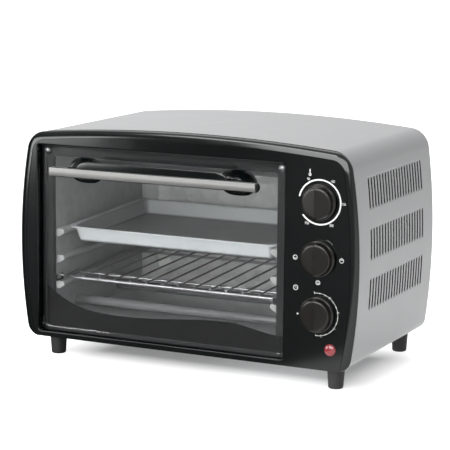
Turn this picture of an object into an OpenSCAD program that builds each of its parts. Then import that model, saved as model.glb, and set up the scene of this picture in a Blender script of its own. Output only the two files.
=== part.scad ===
// Countertop toaster oven: a curved steel wrap behind a gloss bezel, a drop-down glass door with a
// bar handle, three dials, a wire rack and a baking pan on sloping guides, and four heater tubes.
// Millimetres, +Z up, +X to the right as seen from the front, +Y to the back. Every module draws its
// piece with the bezel face at y = 0, and in_frame() then centres the whole oven on the origin.

/* [Body] */
// Overall width at the widest point of the sides
body_w = 370; // [350:1:420]
// Height of the crown above the table
body_h = 244.5; // [238:0.5:280]
// Depth from the bezel face to the back panel
body_d = 220; // [210:1:280]
// Height of the widest point of the sides above the table
belly_z = 122; // [112:1:132]
// Radius of the side curve, seen from the front
side_r = 700; // [600:10:1200]
// Radius of the top curve, seen from the front
crown_r = 1700; // [1400:20:3000]
// Radius of the top corners
top_corner_r = 22; // [18:1:26]
// Radius of the bottom corners
bottom_corner_r = 13; // [10:1:16]
// Thickness of the sheet steel
sheet_t = 0.8; // [0.6:0.1:1.2]
// How far the casing's lip reaches inwards past each foot
lip_past = 6; // [4:1:20]

/* [Bezel] */
// Depth of the bezel from its face to the casing seam
bezel_d = 9.3; // [8:0.1:12]
// How far the flat face is set in from the casing outline
face_inset = 7.5; // [5:0.5:9]
// How far the bezel's rim stands out past the casing's sides
rim_over = 4; // [2:0.5:6]
// Radius of the curve of the bezel's sides
rim_r = 560; // [500:10:900]
// Distance of the bezel's widest line behind its face
rim_d = 3; // [2:0.5:5]
// How far the back edge of the bezel is set in from the casing outline
seam_inset = 1.2; // [0.8:0.1:2]
// Wall of the bezel moulding
bezel_wall = 2; // [1.6:0.1:2.4]
// Width of the bezel left of the door
stile_w = 17.5; // [15:0.5:24]
// Width of the control panel right of the door
panel_w = 74; // [70:0.5:90]
// Height of the bezel below the door
sill_h = 6; // [5:0.5:10]
// Height of the bezel above the door
head_h = 20.8; // [18:0.2:28]
// Radius of the screw bosses behind the bezel
boss_r = 3.2; // [2.6:0.1:3.8]

/* [Door] */
// Gap between the glass and the bezel all round
door_gap = 3; // [2:0.1:4]
// How far the glass is set back from the bezel face
glass_back = 9; // [8:0.1:11]
// Thickness of the glass
glass_t = 4; // [3:0.1:5]
// Radius of the glass corners
glass_corner_r = 4; // [2:0.5:8]
// Height of the hinge line above the lower edge of the glass
hinge_up = 2.5; // [2:0.1:3.5]
// Radius of the hinge pins
hinge_pin_r = 1.5; // [1.2:0.1:1.8]
// Width of the steel frame behind the edges of the glass
frame_w = 9; // [7:0.5:12]
// Height of the black printed band at its lowest
band_h = 17; // [12:0.5:30]

/* [Handle] */
// Length of the handle strip
handle_l = 231; // [180:1:250]
// Height of the handle strip
strip_h = 9.9; // [7:0.1:14]
// Thickness of the handle strip
strip_t = 1.4; // [1:0.1:2.5]
// Thickness of the bar behind the strip
bar_t = 8; // [6:0.5:11]
// Reach of the handle in front of the bezel face
handle_reach = 17; // [17:0.5:30]
// Distance of the handle centre line below the top of the glass
handle_drop = 21.2; // [18:0.2:30]
// Distance between the two handle posts
post_pitch = 171; // [120:1:190]
// Width of a post where it meets the glass
post_w = 41; // [30:1:48]
// Height of a post where it meets the glass
post_h = 26; // [18:1:30]

/* [Controls] */
// Height of the top dial above the table
dial_z = 187.7; // [180:0.1:192]
// Distance between the dials
dial_pitch = 55; // [50:0.5:60]
// Radius of a knob at its skirt
knob_r = 17.8; // [14:0.1:20]
// Reach of a knob in front of the bezel face
knob_reach = 11.5; // [11:0.5:17]
// Slope of the two faces of a knob, down from its middle ridge
knob_slope = 10; // [6:1:14]
// Gap between a knob and the bezel face
knob_gap = 1; // [0.6:0.1:2]
// Radius of the control shafts
shaft_r = 3; // [2.5:0.1:3.5]
// Radius of the lamp lens
lamp_r = 6; // [4:0.5:8]
// Height of the lamp above the table
lamp_z = 43.7; // [40:0.1:50]

/* [Oven chamber] */
// Distance of the steel bulkhead behind the bezel face
bulkhead_y = 16; // [15.5:0.1:18]
// Distance of the chamber's side walls inside the door opening
chamber_in = 12.75; // [11.5:0.25:19]
// Height of the chamber floor above the table
floor_z = 42; // [40:0.5:46]
// Distance of the chamber roof below the top of the casing
roof_in = 31.5; // [30.5:0.5:40]
// Distance of the chamber's back wall behind the bezel face
chamber_back = 205; // [195:0.5:206]
// Depth of the panel pressed out of the back wall
press_d = 7; // [4:0.5:9]
// Height of the top face of the lowest guide, at its front end
guide_z = 79; // [72:0.5:84]
// Distance between the guides
guide_pitch = 27.5; // [24:0.5:32]
// How far the guides stand out from the walls
guide_w = 9; // [6:0.5:10]
// Height of a guide
guide_h = 8; // [6:0.5:10]
// Upward slope of the guides towards the back, in degrees
guide_slope = 2.3; // [0:0.1:3]

/* [Tableware] */
// Clearance between the rack or the pan and each side wall
tray_gap = 4; // [3.5:0.25:6]
// Depth of the rack and of the pan, front to back
tray_d = 165; // [140:1:170]
// Distance of the rack and of the pan behind the bezel face
tray_y = 29; // [27:0.5:32]
// Diameter of the rack's border rod
rod_d = 3.4; // [2.6:0.1:4]
// Diameter of the rack's long wires
wire_d = 2; // [1.6:0.1:2.6]
// Number of long wires in the rack
wire_count = 12; // [8:1:14]
// Depth of the baking pan
pan_h = 15; // [10:0.5:18]
// Thickness of the pan's sheet
pan_t = 0.8; // [0.6:0.1:1.2]
// Width of the pan's rim
rim_w = 7.5; // [7:0.5:9]
// Radius of the pan's corners
pan_corner_r = 12; // [8:1:20]

/* [Heaters] */
// Radius of a heater tube
tube_r = 5; // [4:0.5:6]
// Height of the lower tubes above the chamber floor
tube_up = 10; // [9:0.5:12]
// Distance of the upper tubes below the chamber roof
tube_down = 9; // [8:0.5:12]
// Distance of the front tubes behind the bezel face
tube_y = 60; // [50:1:70]
// Distance of the back tubes in front of the chamber's back wall
tube_back = 55; // [40:1:80]

/* [Vents] */
// Number of slots in a row
slot_count = 20; // [10:1:22]
// Distance between the slots
slot_pitch = 7.6; // [6:0.1:7.8]
// Width of a slot
slot_w = 3; // [2:0.1:4]
// Height of a slot
slot_h = 30; // [20:1:34]
// Distance between the rows of slots
slot_row_pitch = 50; // [40:1:52]
// Height of the middle of the lowest row above the table
slot_z = 93; // [84:1:94]
// Distance of the middle of a row behind the bezel face
slot_mid_y = 116.5; // [100:0.5:130]

/* [Feet] */
// Height of the feet
foot_h = 22; // [16:0.5:24]
// Radius of a foot at its top
foot_top_r = 9; // [7:0.5:12]
// Radius of a foot at its bottom
foot_base_r = 7.5; // [6:0.5:10]
// Distance of the feet from the sides of the oven
foot_in = 27; // [23:0.5:35]
// Distance of the front feet behind the bezel face
foot_front_y = 25; // [20:0.5:40]
// Distance of the back feet in front of the back panel
foot_back_gap = 19; // [14:0.5:40]

/* [Cord gland] */
// Reach of the cord gland behind the back panel
gland_out = 6; // [4:0.5:10]
// Radius of the hole for the cord
cord_hole_r = 3.6; // [2.5:0.1:4.5]
// Height of the gland above the table
gland_z = 48; // [44:1:90]

/* [Hidden] */
$fn = 48;

// Overshoot of a cut
eps = 1;
// Clearance between a piece and its seat
seat = 0.3;
// Radial clearance of a turning pin or shaft
run_fit = 0.05;

half_w = body_w / 2;
centre_y = (body_d + gland_out - max(handle_reach, knob_reach)) / 2;
casing_y = bezel_d + 0.4;
rear_y = body_d - sheet_t;
foot_x = half_w - foot_in;
lip_x = foot_x - foot_top_r - lip_past;
plate_z = foot_h + 2 * sheet_t;
foot_back_y = body_d - foot_back_gap;
foot_ys = [foot_front_y, foot_back_y];
foot_screw_in = 11;

// Door opening in the bezel, and the glass in it
open_x0 = stile_w - half_w;
open_x1 = half_w - panel_w;
open_z0 = foot_h + sill_h;
open_z1 = body_h - head_h;
open_corner_r = 3;
door_mid = (open_x0 + open_x1) / 2;
glass_w = open_x1 - open_x0 - 2 * door_gap;
glass_x = glass_w / 2;
glass_z0 = open_z0 + door_gap;
glass_z1 = open_z1 - door_gap;
glass_y1 = glass_back + glass_t;
hinge_y = glass_back + glass_t / 2;
hinge_z = glass_z0 + hinge_up;
film_t = 0.2;
frame_y = glass_y1 + film_t;
frame_sill = frame_w + 5;
lug_t = 1.2;
lug_x = glass_x + seat;
bracket_x = glass_x + door_gap + bezel_wall + 1.3;
bracket_t = 1.6;
pin_end = bracket_x + bracket_t + 0.8;
spring_wire = 1.2;
spring_turns = 5;
spring_r = hinge_pin_r + 0.5 + spring_wire / 2;
corner_screw_in = 4;

// Handle
handle_z = glass_z1 - handle_drop;
bar_y = strip_t - handle_reach;
bar_over = 1.5;
post_xs = [-post_pitch / 2, post_pitch / 2];
screw_r = 1.6;

// Chamber, guides and what rests on them
chamber_w = open_x1 - open_x0 - 2 * chamber_in;
chamber_x = chamber_w / 2;
roof_z = body_h - roof_in;
tray_w = chamber_w - 2 * tray_gap;
chamber_y0 = bulkhead_y + sheet_t;
guide_y0 = chamber_y0 + 1.2;
guide_l = chamber_back - guide_y0 - 3;
pan_end_w = 3;
pan_taper = 4;
tube_ys = [tube_y, chamber_back - tube_back];
tube_zs = [floor_z + tube_up, roof_z - tube_down];
tube_out = 9;
cap_r = tube_r + 3;
cap_l = 13;

// Catches that draw the rack out with the door
arm_w = 2;
arm_x = chamber_x - 1.2 - arm_w;
arm_y1 = tray_y - 3;
arm_z = guide_z + (arm_y1 - guide_y0) * tan(guide_slope) + 0.5;
finger_h = 6.7;
finger_t = 1;
catch_gap = 1.3;
catch_up = 0.8;

// Controls
dial_x = half_w - panel_w / 2;
dial_zs = [dial_z, dial_z - dial_pitch, dial_z - 2 * dial_pitch];
lamp_x = dial_x + 13.5;
lamp_y1 = 6;
bush_r = 5;
bush_y = bulkhead_y - 6.5;
nut_t = 3;
shaft_y0 = 3 - knob_reach;
flat_l = 6;
shaft_y1 = chamber_y0 + 14;
flat_r = shaft_r - 0.7;
timer_r = 23;
timer_depth = 30;
bell_t = 1;
bell_gap = 7;
bell_y = chamber_y0 + timer_depth + bell_gap - 1;
gland_neck_r = cord_hole_r + 2.6;

// Draws children, made with the bezel face at y = 0, in the oven's own frame.
module in_frame() {
    translate([0, -centre_y, 0]) children();
}

// A front-view outline made into a slab that runs back from y0.
module slab(y0, depth) {
    translate([0, y0 + depth, 0]) rotate([90, 0, 0]) linear_extrude(depth) children();
}

// A side-view outline, y then z, carried sideways from x0.
module carried(x0, length) {
    translate([x0, 0, 0]) rotate([90, 0, 90]) linear_extrude(length) children();
}

// A round bar or hole that runs back from y0.
module pin_y(x, y0, z, r, length) {
    translate([x, y0, z]) rotate([-90, 0, 0]) cylinder(r = r, h = length);
}

// A round bar or hole that runs to the right from x0.
module pin_x(x0, y, z, r, length) {
    translate([x0, y, z]) rotate([0, 90, 0]) cylinder(r = r, h = length);
}

// A rectangle with rounded corners, from corner to corner.
module rounded(x0, z0, x1, z1, r) {
    translate([x0 + r, z0]) square([x1 - x0 - 2 * r, z1 - z0]);
    translate([x0, z0 + r]) square([x1 - x0, z1 - z0 - 2 * r]);
    for (x = [x0 + r, x1 - r], z = [z0 + r, z1 - r]) translate([x, z]) circle(r);
}

// Both sides of the door or chamber: children at +x and mirrored, about the middle of the door.
module both_sides() {
    for (side = [0, 1]) translate([door_mid, 0, 0]) mirror([side, 0, 0]) children();
}

function arc(centre, r, from, to, steps) =
    [for (i = [0:steps]) let (a = from + (to - from) * i / steps) centre + r * [cos(a), sin(a)]];
function tail(list) = [for (i = [1:len(list) - 1]) list[i]];
function angle_of(v) = atan2(v[1], v[0]);

// The upper of the two points where two circles meet.
function circles_meet(a, ra, b, rb) =
    let (d = b - a, l = norm(d), s = (ra * ra - rb * rb + l * l) / (2 * l), h = sqrt(ra * ra - s * s))
    a + s * d / l + h * [-d[1], d[0]] / l;

side_c = [half_w - side_r, belly_z];
crown_c = [0, body_h - crown_r];

// Half width of the flat bottom, for an outline set in by inset and raised by low.
function flat_x(inset, low, c = side_c, sr = side_r) =
    let (r = bottom_corner_r - inset, z = foot_h + low + r)
    c[0] + sqrt(pow(sr - inset - r, 2) - pow(z - belly_z, 2));

// The oven's front view: curved sides and crown with round corners, set in by inset, raised by low.
// The sides are arcs of radius sr about c.
function outline(inset, low, c = side_c, sr = side_r) =
    let (
        r = bottom_corner_r - inset,
        low_c = [flat_x(inset, low, c, sr), foot_h + low + r],
        corner_c = circles_meet(c, sr - top_corner_r, crown_c, crown_r - top_corner_r),
        a_low = angle_of(low_c - c),
        a_side = angle_of(corner_c - c),
        a_crown = angle_of(corner_c - crown_c),
        right = concat(
            arc(low_c, r, -90, a_low, 5),
            tail(arc(c, sr - inset, a_low, a_side, 10)),
            tail(arc(corner_c, top_corner_r - inset, a_side, a_crown, 8)),
            tail(arc(crown_c, crown_r - inset, a_crown, 90, 6))),
        left = [for (i = [len(right) - 2:-1:0]) [-right[i][0], right[i][1]]]
    )
    concat(right, left);

// ---------- Casing ----------

module foot_bores(r) {
    for (x = [-foot_x, foot_x], y = foot_ys)
        translate([x, y, foot_h - eps]) cylinder(r = r, h = 2 * sheet_t + 2 * eps);
}

module casing_cover() {
    flange_w = 10;
    slot_in = 15;
    color("silver") in_frame() difference() {
        union() {
            slab(casing_y, body_d - casing_y) difference() {
                polygon(outline(0, 0));
                polygon(outline(sheet_t, sheet_t));
                translate([-lip_x, foot_h - eps]) square([2 * lip_x, sheet_t + 2 * eps]);
            }
            slab(rear_y - sheet_t, sheet_t) difference() {
                polygon(outline(sheet_t / 2, sheet_t / 2));
                polygon(outline(sheet_t + flange_w, sheet_t + flange_w));
                translate([-half_w, 0]) square([body_w, foot_h + bottom_corner_r]);
            }
        }
        for (row = [0:2], i = [0:slot_count - 1])
            translate([half_w - slot_in, slot_mid_y + (i - (slot_count - 1) / 2) * slot_pitch - slot_w / 2,
                slot_z + row * slot_row_pitch - slot_h / 2])
                cube([slot_in + eps, slot_w, slot_h]);
        foot_bores(screw_r + seat);
        rear_screw_places() pin_y(0, rear_y - sheet_t - eps, 0, screw_r + seat, sheet_t + 2 * eps);
    }
}

module base_panel() {
    vent_l = 40;
    vent_w = 3;
    vent_pitch = 16;
    vent_ys = [tube_y + 10, tube_ys[1]];
    base_x = flat_x(sheet_t, sheet_t) - seat;
    color("darkgray") in_frame() difference() {
        translate([-base_x, casing_y, foot_h + sheet_t]) cube([2 * base_x, rear_y - casing_y, sheet_t]);
        foot_bores(screw_r + seat);
        for (y = vent_ys, i = [-4:4])
            translate([i * vent_pitch - vent_w / 2, y - vent_l / 2, foot_h])
                cube([vent_w, vent_l, 2 * sheet_t + eps]);
    }
}

// The six places where the back panel is screwed to the casing's flange.
module rear_screw_places() {
    screw_pitch = 70;
    screw_in = 6.5;
    for (side = [-1, 1], z = [belly_z - screw_pitch, belly_z, belly_z + screw_pitch])
        translate([side * (side_x(z) - screw_in), 0, z]) children();
}

module rear_panel() {
    louvre_w = 44;
    louvre_h = 3;
    louvre_pitch = 11;
    louvre_x = 110;
    louvre_z = belly_z - 22;
    color("gray") in_frame() difference() {
        slab(rear_y, sheet_t) polygon(outline(sheet_t + seat, sheet_t + seat));
        for (side = [-1, 1], i = [0:7])
            translate([side * louvre_x - louvre_w / 2, rear_y - eps, louvre_z + i * louvre_pitch])
                cube([louvre_w, sheet_t + 2 * eps, louvre_h]);
        rear_screw_places() pin_y(0, rear_y - eps, 0, screw_r + seat, sheet_t + 2 * eps);
        pin_y(dial_x, rear_y - eps, gland_z, gland_neck_r + run_fit, sheet_t + 2 * eps);
    }
}

module rear_screws() {
    head_r = 3.6;
    head_h = 2;
    length = 7;
    color("silver") in_frame() rear_screw_places() {
        pin_y(0, body_d, 0, head_r, head_h);
        pin_y(0, body_d - length, 0, screw_r, length + head_h / 2);
    }
}

// ---------- Mains entry ----------

module cord_gland() {
    lip_r = gland_neck_r + 2;
    groove_y = rear_y - 2.2;
    color("dimgray") in_frame() difference() {
        union() {
            pin_y(dial_x, groove_y - 3, gland_z, gland_neck_r, body_d + gland_out - groove_y + 3);
            pin_y(dial_x, body_d, gland_z, lip_r, 2);
            pin_y(dial_x, groove_y - 3, gland_z, lip_r, 2.5);
        }
        pin_y(dial_x, groove_y - 3 - eps, gland_z, cord_hole_r, body_d + gland_out - groove_y + 3 + 2 * eps);
    }
}

module terminal_block() {
    way = 11;
    block_d = 16;
    block_h = 14;
    step_h = 6;
    hole_z = 7.5;
    color("ivory") in_frame() translate([dial_x - 1.5 * way, rear_y - 46, plate_z]) difference() {
        union() {
            cube([3 * way, block_d, step_h]);
            for (i = [0:2]) translate([i * way + 1, 1, 0]) cube([way - 2, block_d - 2, block_h]);
        }
        for (i = [0:2]) translate([(i + 0.5) * way, 0, 0]) {
            translate([0, block_d / 2, hole_z]) cylinder(r = 2, h = block_h);
            pin_y(0, -eps, hole_z, 2.2, block_d + 2 * eps);
        }
    }
}

// ---------- Bezel ----------

// Places of the screw bosses behind the bezel, as x and z.
boss_pitch = 82;
boss_xs = [door_mid - boss_pitch, door_mid, door_mid + boss_pitch];
function side_x(z) = side_c[0] + sqrt(pow(side_r, 2) - pow(z - belly_z, 2));
function crown_z(x) = crown_c[1] + sqrt(pow(crown_r, 2) - x * x);
boss_side_in = (stile_w + seam_inset) / 2;
boss_in = 13;
boss_down = 45;
boss_up = 50;
boss_places = concat(
    [for (x = boss_xs) [x, crown_z(x) - head_h / 2]],
    [for (z = [belly_z - boss_down, belly_z + boss_up]) [boss_side_in - side_x(z), z]],
    [for (z = [dial_z - dial_pitch / 2, dial_z - 3 * dial_pitch / 2]) [open_x1 + boss_in, z]]);

// The bezel's front view, where flare is 1 at its widest line and 0 where it meets the casing.
function rim_outline(flare, inset, low) =
    let (r = side_r + flare * (rim_r - side_r))
    outline(inset, low, [half_w + flare * rim_over - r, belly_z], r);

module front_bezel() {
    low = 0.5;
    hollow_in = seam_inset + bezel_wall;
    color("black") in_frame() difference() {
        union() {
            difference() {
                // The edge swells in a quarter ellipse from the face to its widest line, and another
                // draws it in to the seam with the casing.
                hull() {
                    for (a = [0, 28, 52, 72, 90])
                        slab(rim_d * (1 - cos(a)), 0.02)
                            polygon(rim_outline(1, face_inset * (1 - sin(a)), low));
                    for (a = [30, 60, 90])
                        slab(rim_d + (bezel_d - rim_d) * sin(a) - 0.02, 0.02)
                            polygon(rim_outline(cos(a), seam_inset * (1 - cos(a)), low));
                }
                slab(bezel_wall, bezel_d) difference() {
                    polygon(outline(hollow_in + 1, hollow_in));
                    rounded(open_x0 - bezel_wall, 0, open_x1 + bezel_wall, open_z1 + bezel_wall,
                        open_corner_r);
                    translate([-half_w, 0]) square([body_w, open_z0]);
                }
            }
            for (p = boss_places)
                pin_y(p[0], bezel_wall / 2, p[1], boss_r, bulkhead_y - bezel_wall / 2);
        }
        slab(-eps, bezel_d + 2 * eps) rounded(open_x0, open_z0, open_x1, open_z1, open_corner_r);
        for (p = boss_places) pin_y(p[0], bezel_wall + 1, p[1], screw_r - run_fit, bulkhead_y);
        for (z = dial_zs) pin_y(dial_x, -eps, z, shaft_r + 1.5, bezel_wall + 2 * eps);
        pin_y(lamp_x, -eps, lamp_z, lamp_r - 1, bezel_wall + 2 * eps);
    }
}

module bezel_screws() {
    color("silver") in_frame() for (p = boss_places) {
        pin_y(p[0], chamber_y0, p[1], 3, 1.8);
        pin_y(p[0], chamber_y0 - 9, p[1], screw_r - 2 * run_fit, 9.5);
    }
}

module bulkhead() {
    color("gainsboro") in_frame() difference() {
        slab(bulkhead_y, sheet_t) polygon(outline(sheet_t + seat, 2 * sheet_t));
        slab(bulkhead_y - eps, sheet_t + 2 * eps) {
            translate([door_mid - chamber_x, floor_z]) square([chamber_w, roof_z - floor_z]);
            translate([dial_x, dial_zs[0]]) circle(bush_r + seat);
            translate([dial_x, dial_zs[1]]) circle(bush_r + seat);
            translate([dial_x, dial_zs[2]]) circle(bush_r + seat);
            translate([lamp_x, lamp_z]) circle(lamp_r - 1 + seat);
            for (p = boss_places) translate(p) circle(screw_r + run_fit);
        }
    }
}

// ---------- Chamber ----------

// Height of a guide's top face at the front of the tableware; level 0 is the lowest.
function shelf_z(level) = guide_z + level * guide_pitch + (tray_y - guide_y0) * tan(guide_slope);

// Children sit on the guides of a level: y runs back along the slope, z stands on it.
module on_guide(level) {
    translate([door_mid, tray_y, shelf_z(level)]) rotate([guide_slope, 0, 0]) children();
}

// Section of a pressed guide, x away from the wall and z down from its top face.
module guide_section(wall_x, w, h) {
    polygon([[wall_x, 0], [w - 1.5, 0], [w, -1.5], [w, -h / 2], [w / 3, -h], [wall_x, -h]]);
}

module guide(wall_x, w, h, drop, ends) {
    front = guide_y0 - tray_y;
    translate([0, front + ends, -drop]) mirror([0, 1, 0]) rotate([90, 0, 0])
        linear_extrude(guide_l - 2 * ends) guide_section(wall_x, w, h);
}

// A side wall drawn at the left of the chamber, with its three guides pressed inwards.
module chamber_side() {
    module guides(wall_x, w, h, drop, ends) {
        for (level = [0:2]) translate([-chamber_x, tray_y, shelf_z(level)]) rotate([guide_slope, 0, 0])
            guide(wall_x, w, h, drop, ends);
    }
    difference() {
        union() {
            translate([-chamber_x - sheet_t, chamber_y0, floor_z])
                cube([sheet_t, chamber_back - chamber_y0, roof_z - floor_z]);
            guides(-sheet_t / 2, guide_w, guide_h, 0, 0);
        }
        guides(-sheet_t - eps, guide_w - sheet_t, guide_h - 2 * sheet_t, sheet_t, sheet_t);
        for (y = tube_ys, z = tube_zs)
            pin_x(-chamber_x - sheet_t - eps, y, z, tube_r + seat, sheet_t + 2 * eps);
    }
}

module chamber_left() {
    color("silver") in_frame() translate([door_mid, 0, 0]) chamber_side();
}

module chamber_right() {
    color("silver") in_frame() translate([door_mid, 0, 0]) mirror([1, 0, 0]) chamber_side();
}

module chamber_plate(z) {
    translate([door_mid - chamber_x - sheet_t, chamber_y0, z])
        cube([chamber_w + 2 * sheet_t, chamber_back - chamber_y0, sheet_t]);
}

module chamber_roof() {
    color("silver") in_frame() chamber_plate(roof_z);
}

module chamber_floor() {
    color("silver") in_frame() chamber_plate(floor_z - sheet_t);
}

// The back wall, with a wide panel pressed out backwards.
module chamber_back() {
    margin = 21;
    bevel = 10;
    module pressing(grow, y0, depth) {
        x = chamber_x - margin;
        z0 = floor_z + margin - 4;
        z1 = roof_z - margin;
        hull() {
            slab(y0, 0.02) rounded(-x - grow, z0 - grow, x + grow, z1 + grow, 10);
            slab(y0 + depth - 0.02, 0.02)
                rounded(bevel - x - grow, z0 + bevel - grow, x - bevel + grow, z1 - bevel + grow, 8);
        }
    }
    color("silver") in_frame() translate([door_mid, 0, 0]) difference() {
        union() {
            translate([-chamber_x - sheet_t, chamber_back, floor_z - sheet_t])
                cube([chamber_w + 2 * sheet_t, sheet_t, roof_z - floor_z + 2 * sheet_t]);
            pressing(sheet_t, chamber_back, press_d + sheet_t);
        }
        pressing(0, chamber_back - 0.01, press_d);
    }
}

module crumb_tray() {
    side_gap = 2;
    rim = 4;
    x = chamber_x - side_gap;
    y0 = chamber_y0 + side_gap;
    y1 = chamber_back - side_gap;
    color("lightgray") in_frame() translate([door_mid, 0, floor_z]) difference() {
        translate([-x, y0, 0]) cube([2 * x, y1 - y0, rim]);
        translate([sheet_t - x, y0 + sheet_t, sheet_t]) cube([2 * (x - sheet_t), y1 - y0 - 2 * sheet_t, rim]);
    }
}

// ---------- Heaters ----------

module heater_pair(z) {
    for (y = tube_ys) pin_x(door_mid - chamber_x - tube_out, y, z, tube_r, chamber_w + 2 * tube_out);
}

module upper_heaters() {
    color("whitesmoke") in_frame() heater_pair(tube_zs[1]);
}

module lower_heaters() {
    color("whitesmoke") in_frame() heater_pair(tube_zs[0]);
}

// Ceramic caps outside the chamber walls, which hold the ends of the tubes.
module heater_caps() {
    wall_x = chamber_x + sheet_t;
    color("ivory") in_frame() both_sides() for (y = tube_ys, z = tube_zs) difference() {
        pin_x(wall_x, y, z, cap_r, cap_l);
        pin_x(wall_x - eps, y, z, tube_r + run_fit, tube_out - sheet_t + eps + run_fit);
    }
}

// ---------- Tableware ----------

// A bent round border: straight rods and quarter rings, about a rectangle that starts at y = 0.
module border_rod(w, d, r, bend) {
    x = w / 2 - r;
    for (s = [-1, 1]) pin_y(s * x, r + bend, 0, r, d - 2 * (r + bend));
    for (y = [r, d - r]) pin_x(bend - x, y, 0, r, 2 * (x - bend));
    for (s = [0, 1], t = [0, 1])
        translate([0, d / 2, 0]) mirror([s, 0, 0]) mirror([0, t, 0])
            translate([x - bend, d / 2 - r - bend, 0])
                rotate_extrude(angle = 90) translate([bend, 0]) circle(r);
}

module wire_rack() {
    r = rod_d / 2;
    bend = 9;
    rod_z = seat + r;
    wire_z = seat + rod_d + wire_d / 2 - 0.3;
    x = tray_w / 2 - rod_d;
    pitch = 2 * x / (wire_count + 1);
    cross_in = 25;
    end_in = 0.6;
    catch_y = arm_y1 - finger_t - tray_y - catch_gap - wire_d / 2;
    catch_l = 34;
    catch_x = x + r;
    color("silver") in_frame() on_guide(0) {
        translate([0, 0, rod_z]) border_rod(tray_w, tray_d, r, bend);
        for (y = [cross_in, tray_d - cross_in]) pin_x(-catch_x, y, rod_z + 0.1, r - 0.2, 2 * catch_x);
        for (i = [1:wire_count])
            pin_y(i * pitch - x, end_in, wire_z, wire_d / 2, tray_d - 2 * end_in);
        for (s = [0, 1]) mirror([s, 0, 0]) {
            pin_y(catch_x, catch_y - end_in, wire_z, wire_d / 2, catch_l);
            pin_x(catch_x - end_in, catch_y, wire_z + catch_up, wire_d / 2,
                arm_x + arm_w - catch_x + end_in);
        }
    }
}

// A rounded rectangle of the pan, set in at the sides and ends.
module pan_plan(side_in, end_in, r) {
    rounded(side_in - tray_w / 2, end_in, tray_w / 2 - side_in, tray_d - end_in, r);
}

module pan_hollow(side_in, end_in, depth, r) {
    hull() {
        linear_extrude(0.02) pan_plan(side_in, end_in, r);
        translate([0, 0, -depth]) linear_extrude(0.02)
            pan_plan(side_in + pan_taper, end_in + pan_taper, r - 2);
    }
}

module baking_pan() {
    color("whitesmoke") in_frame() on_guide(2) translate([0, 0, seat]) difference() {
        union() {
            linear_extrude(pan_t) pan_plan(0, 0, pan_corner_r);
            pan_hollow(rim_w, pan_end_w, pan_h, pan_corner_r - pan_end_w);
        }
        translate([0, 0, 0.03]) pan_hollow(rim_w + pan_t, pan_end_w + pan_t, pan_h - pan_t, pan_corner_r - 4);
        translate([0, 0, 0.01]) linear_extrude(pan_t + eps)
            pan_plan(rim_w + pan_t, pan_end_w + pan_t, pan_corner_r - 4);
    }
}

// ---------- Door ----------

module glass_plan(inset) {
    rounded(inset - glass_x, glass_z0 + inset, glass_x - inset, glass_z1 - inset, glass_corner_r);
}

module door_glass() {
    color("lightblue", 0.4) in_frame() translate([door_mid, 0, 0]) difference() {
        slab(glass_back, glass_t) glass_plan(0);
        for (x = post_xs) pin_y(x, glass_back - eps, handle_z, screw_r + seat, glass_t + 2 * eps);
        for (s = [-1, 1]) pin_y(s * (glass_x - corner_screw_in), glass_back - eps, glass_z1 - corner_screw_in,
            screw_r + seat, glass_t + 2 * eps);
    }
}

// The black print behind the foot of the glass: it sweeps up at the left and swells at the right.
module glass_band() {
    sweep_h = 27;
    sweep_l = 0.112;
    swell_h = 8.8;
    swell_at = 0.77;
    function swell(t) = swell_h * exp(-pow((t - swell_at) / (t < swell_at ? 0.316 : 0.139), 2));
    function edge(t) = band_h + sweep_h * exp(-pow(t / sweep_l, 1.15)) + swell(t);
    steps = 40;
    color("black") in_frame() translate([door_mid, 0, 0]) slab(glass_y1, film_t) intersection() {
        glass_plan(1);
        polygon(concat([[-glass_x, glass_z0], [glass_x, glass_z0]],
            [for (i = [steps:-1:0]) [(2 * i / steps - 1) * glass_x, glass_z0 + edge(i / steps)]]));
    }
}

module door_frame() {
    edge_in = 0.5;
    lug_h = 7;
    strip_x = glass_x - edge_in - frame_w / 2;
    color("dimgray") in_frame() translate([door_mid, 0, 0]) difference() {
        union() {
            slab(frame_y, sheet_t) difference() {
                glass_plan(edge_in);
                rounded(edge_in + frame_w - glass_x, glass_z0 + frame_sill, glass_x - edge_in - frame_w,
                    glass_z1 - edge_in - frame_w, 3);
            }
            for (s = [0, 1]) mirror([s, 0, 0]) {
                // The lug at the hinge, turned forward beside the glass.
                translate([lug_x, glass_back, glass_z0]) cube([lug_t, frame_y + sheet_t - glass_back, lug_h]);
                translate([strip_x, frame_y, glass_z0 + glass_corner_r])
                    cube([lug_x + lug_t - strip_x, sheet_t, lug_h - glass_corner_r]);
                // The arm and finger that draw the rack out.
                translate([arm_x, frame_y, arm_z]) cube([arm_w, arm_y1 - frame_y, finger_t]);
                translate([arm_x, frame_y, arm_z]) cube([strip_x - arm_x, sheet_t, finger_h]);
                translate([arm_x, arm_y1 - finger_t, arm_z]) cube([arm_w, finger_t, finger_h]);
            }
        }
        for (s = [-1, 1]) {
            pin_x(s * (lug_x + lug_t / 2) - lug_t / 2 - eps, hinge_y, hinge_z, hinge_pin_r + run_fit,
                lug_t + 2 * eps);
            pin_y(s * (glass_x - corner_screw_in), frame_y - eps, glass_z1 - corner_screw_in,
                screw_r + run_fit, sheet_t + 2 * eps);
        }
    }
}

// A low dome head over a shank, both along y, with the head's flat at y = 0.
module dome_screw(head_r, head_h, r, length) {
    ball_r = (head_r * head_r + head_h * head_h) / (2 * head_h);
    intersection() {
        translate([0, ball_r - head_h, 0]) sphere(ball_r);
        pin_y(0, -head_h - eps, 0, head_r, head_h + eps);
    }
    pin_y(0, -0.5, 0, r, length + 0.5);
}

module corner_screws() {
    color("silver") in_frame() translate([door_mid, 0, 0]) for (s = [-1, 1])
        translate([s * (glass_x - corner_screw_in), glass_back, glass_z1 - corner_screw_in])
            dome_screw(4, 2.2, screw_r, glass_t + film_t + sheet_t + 0.4);
}

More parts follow.
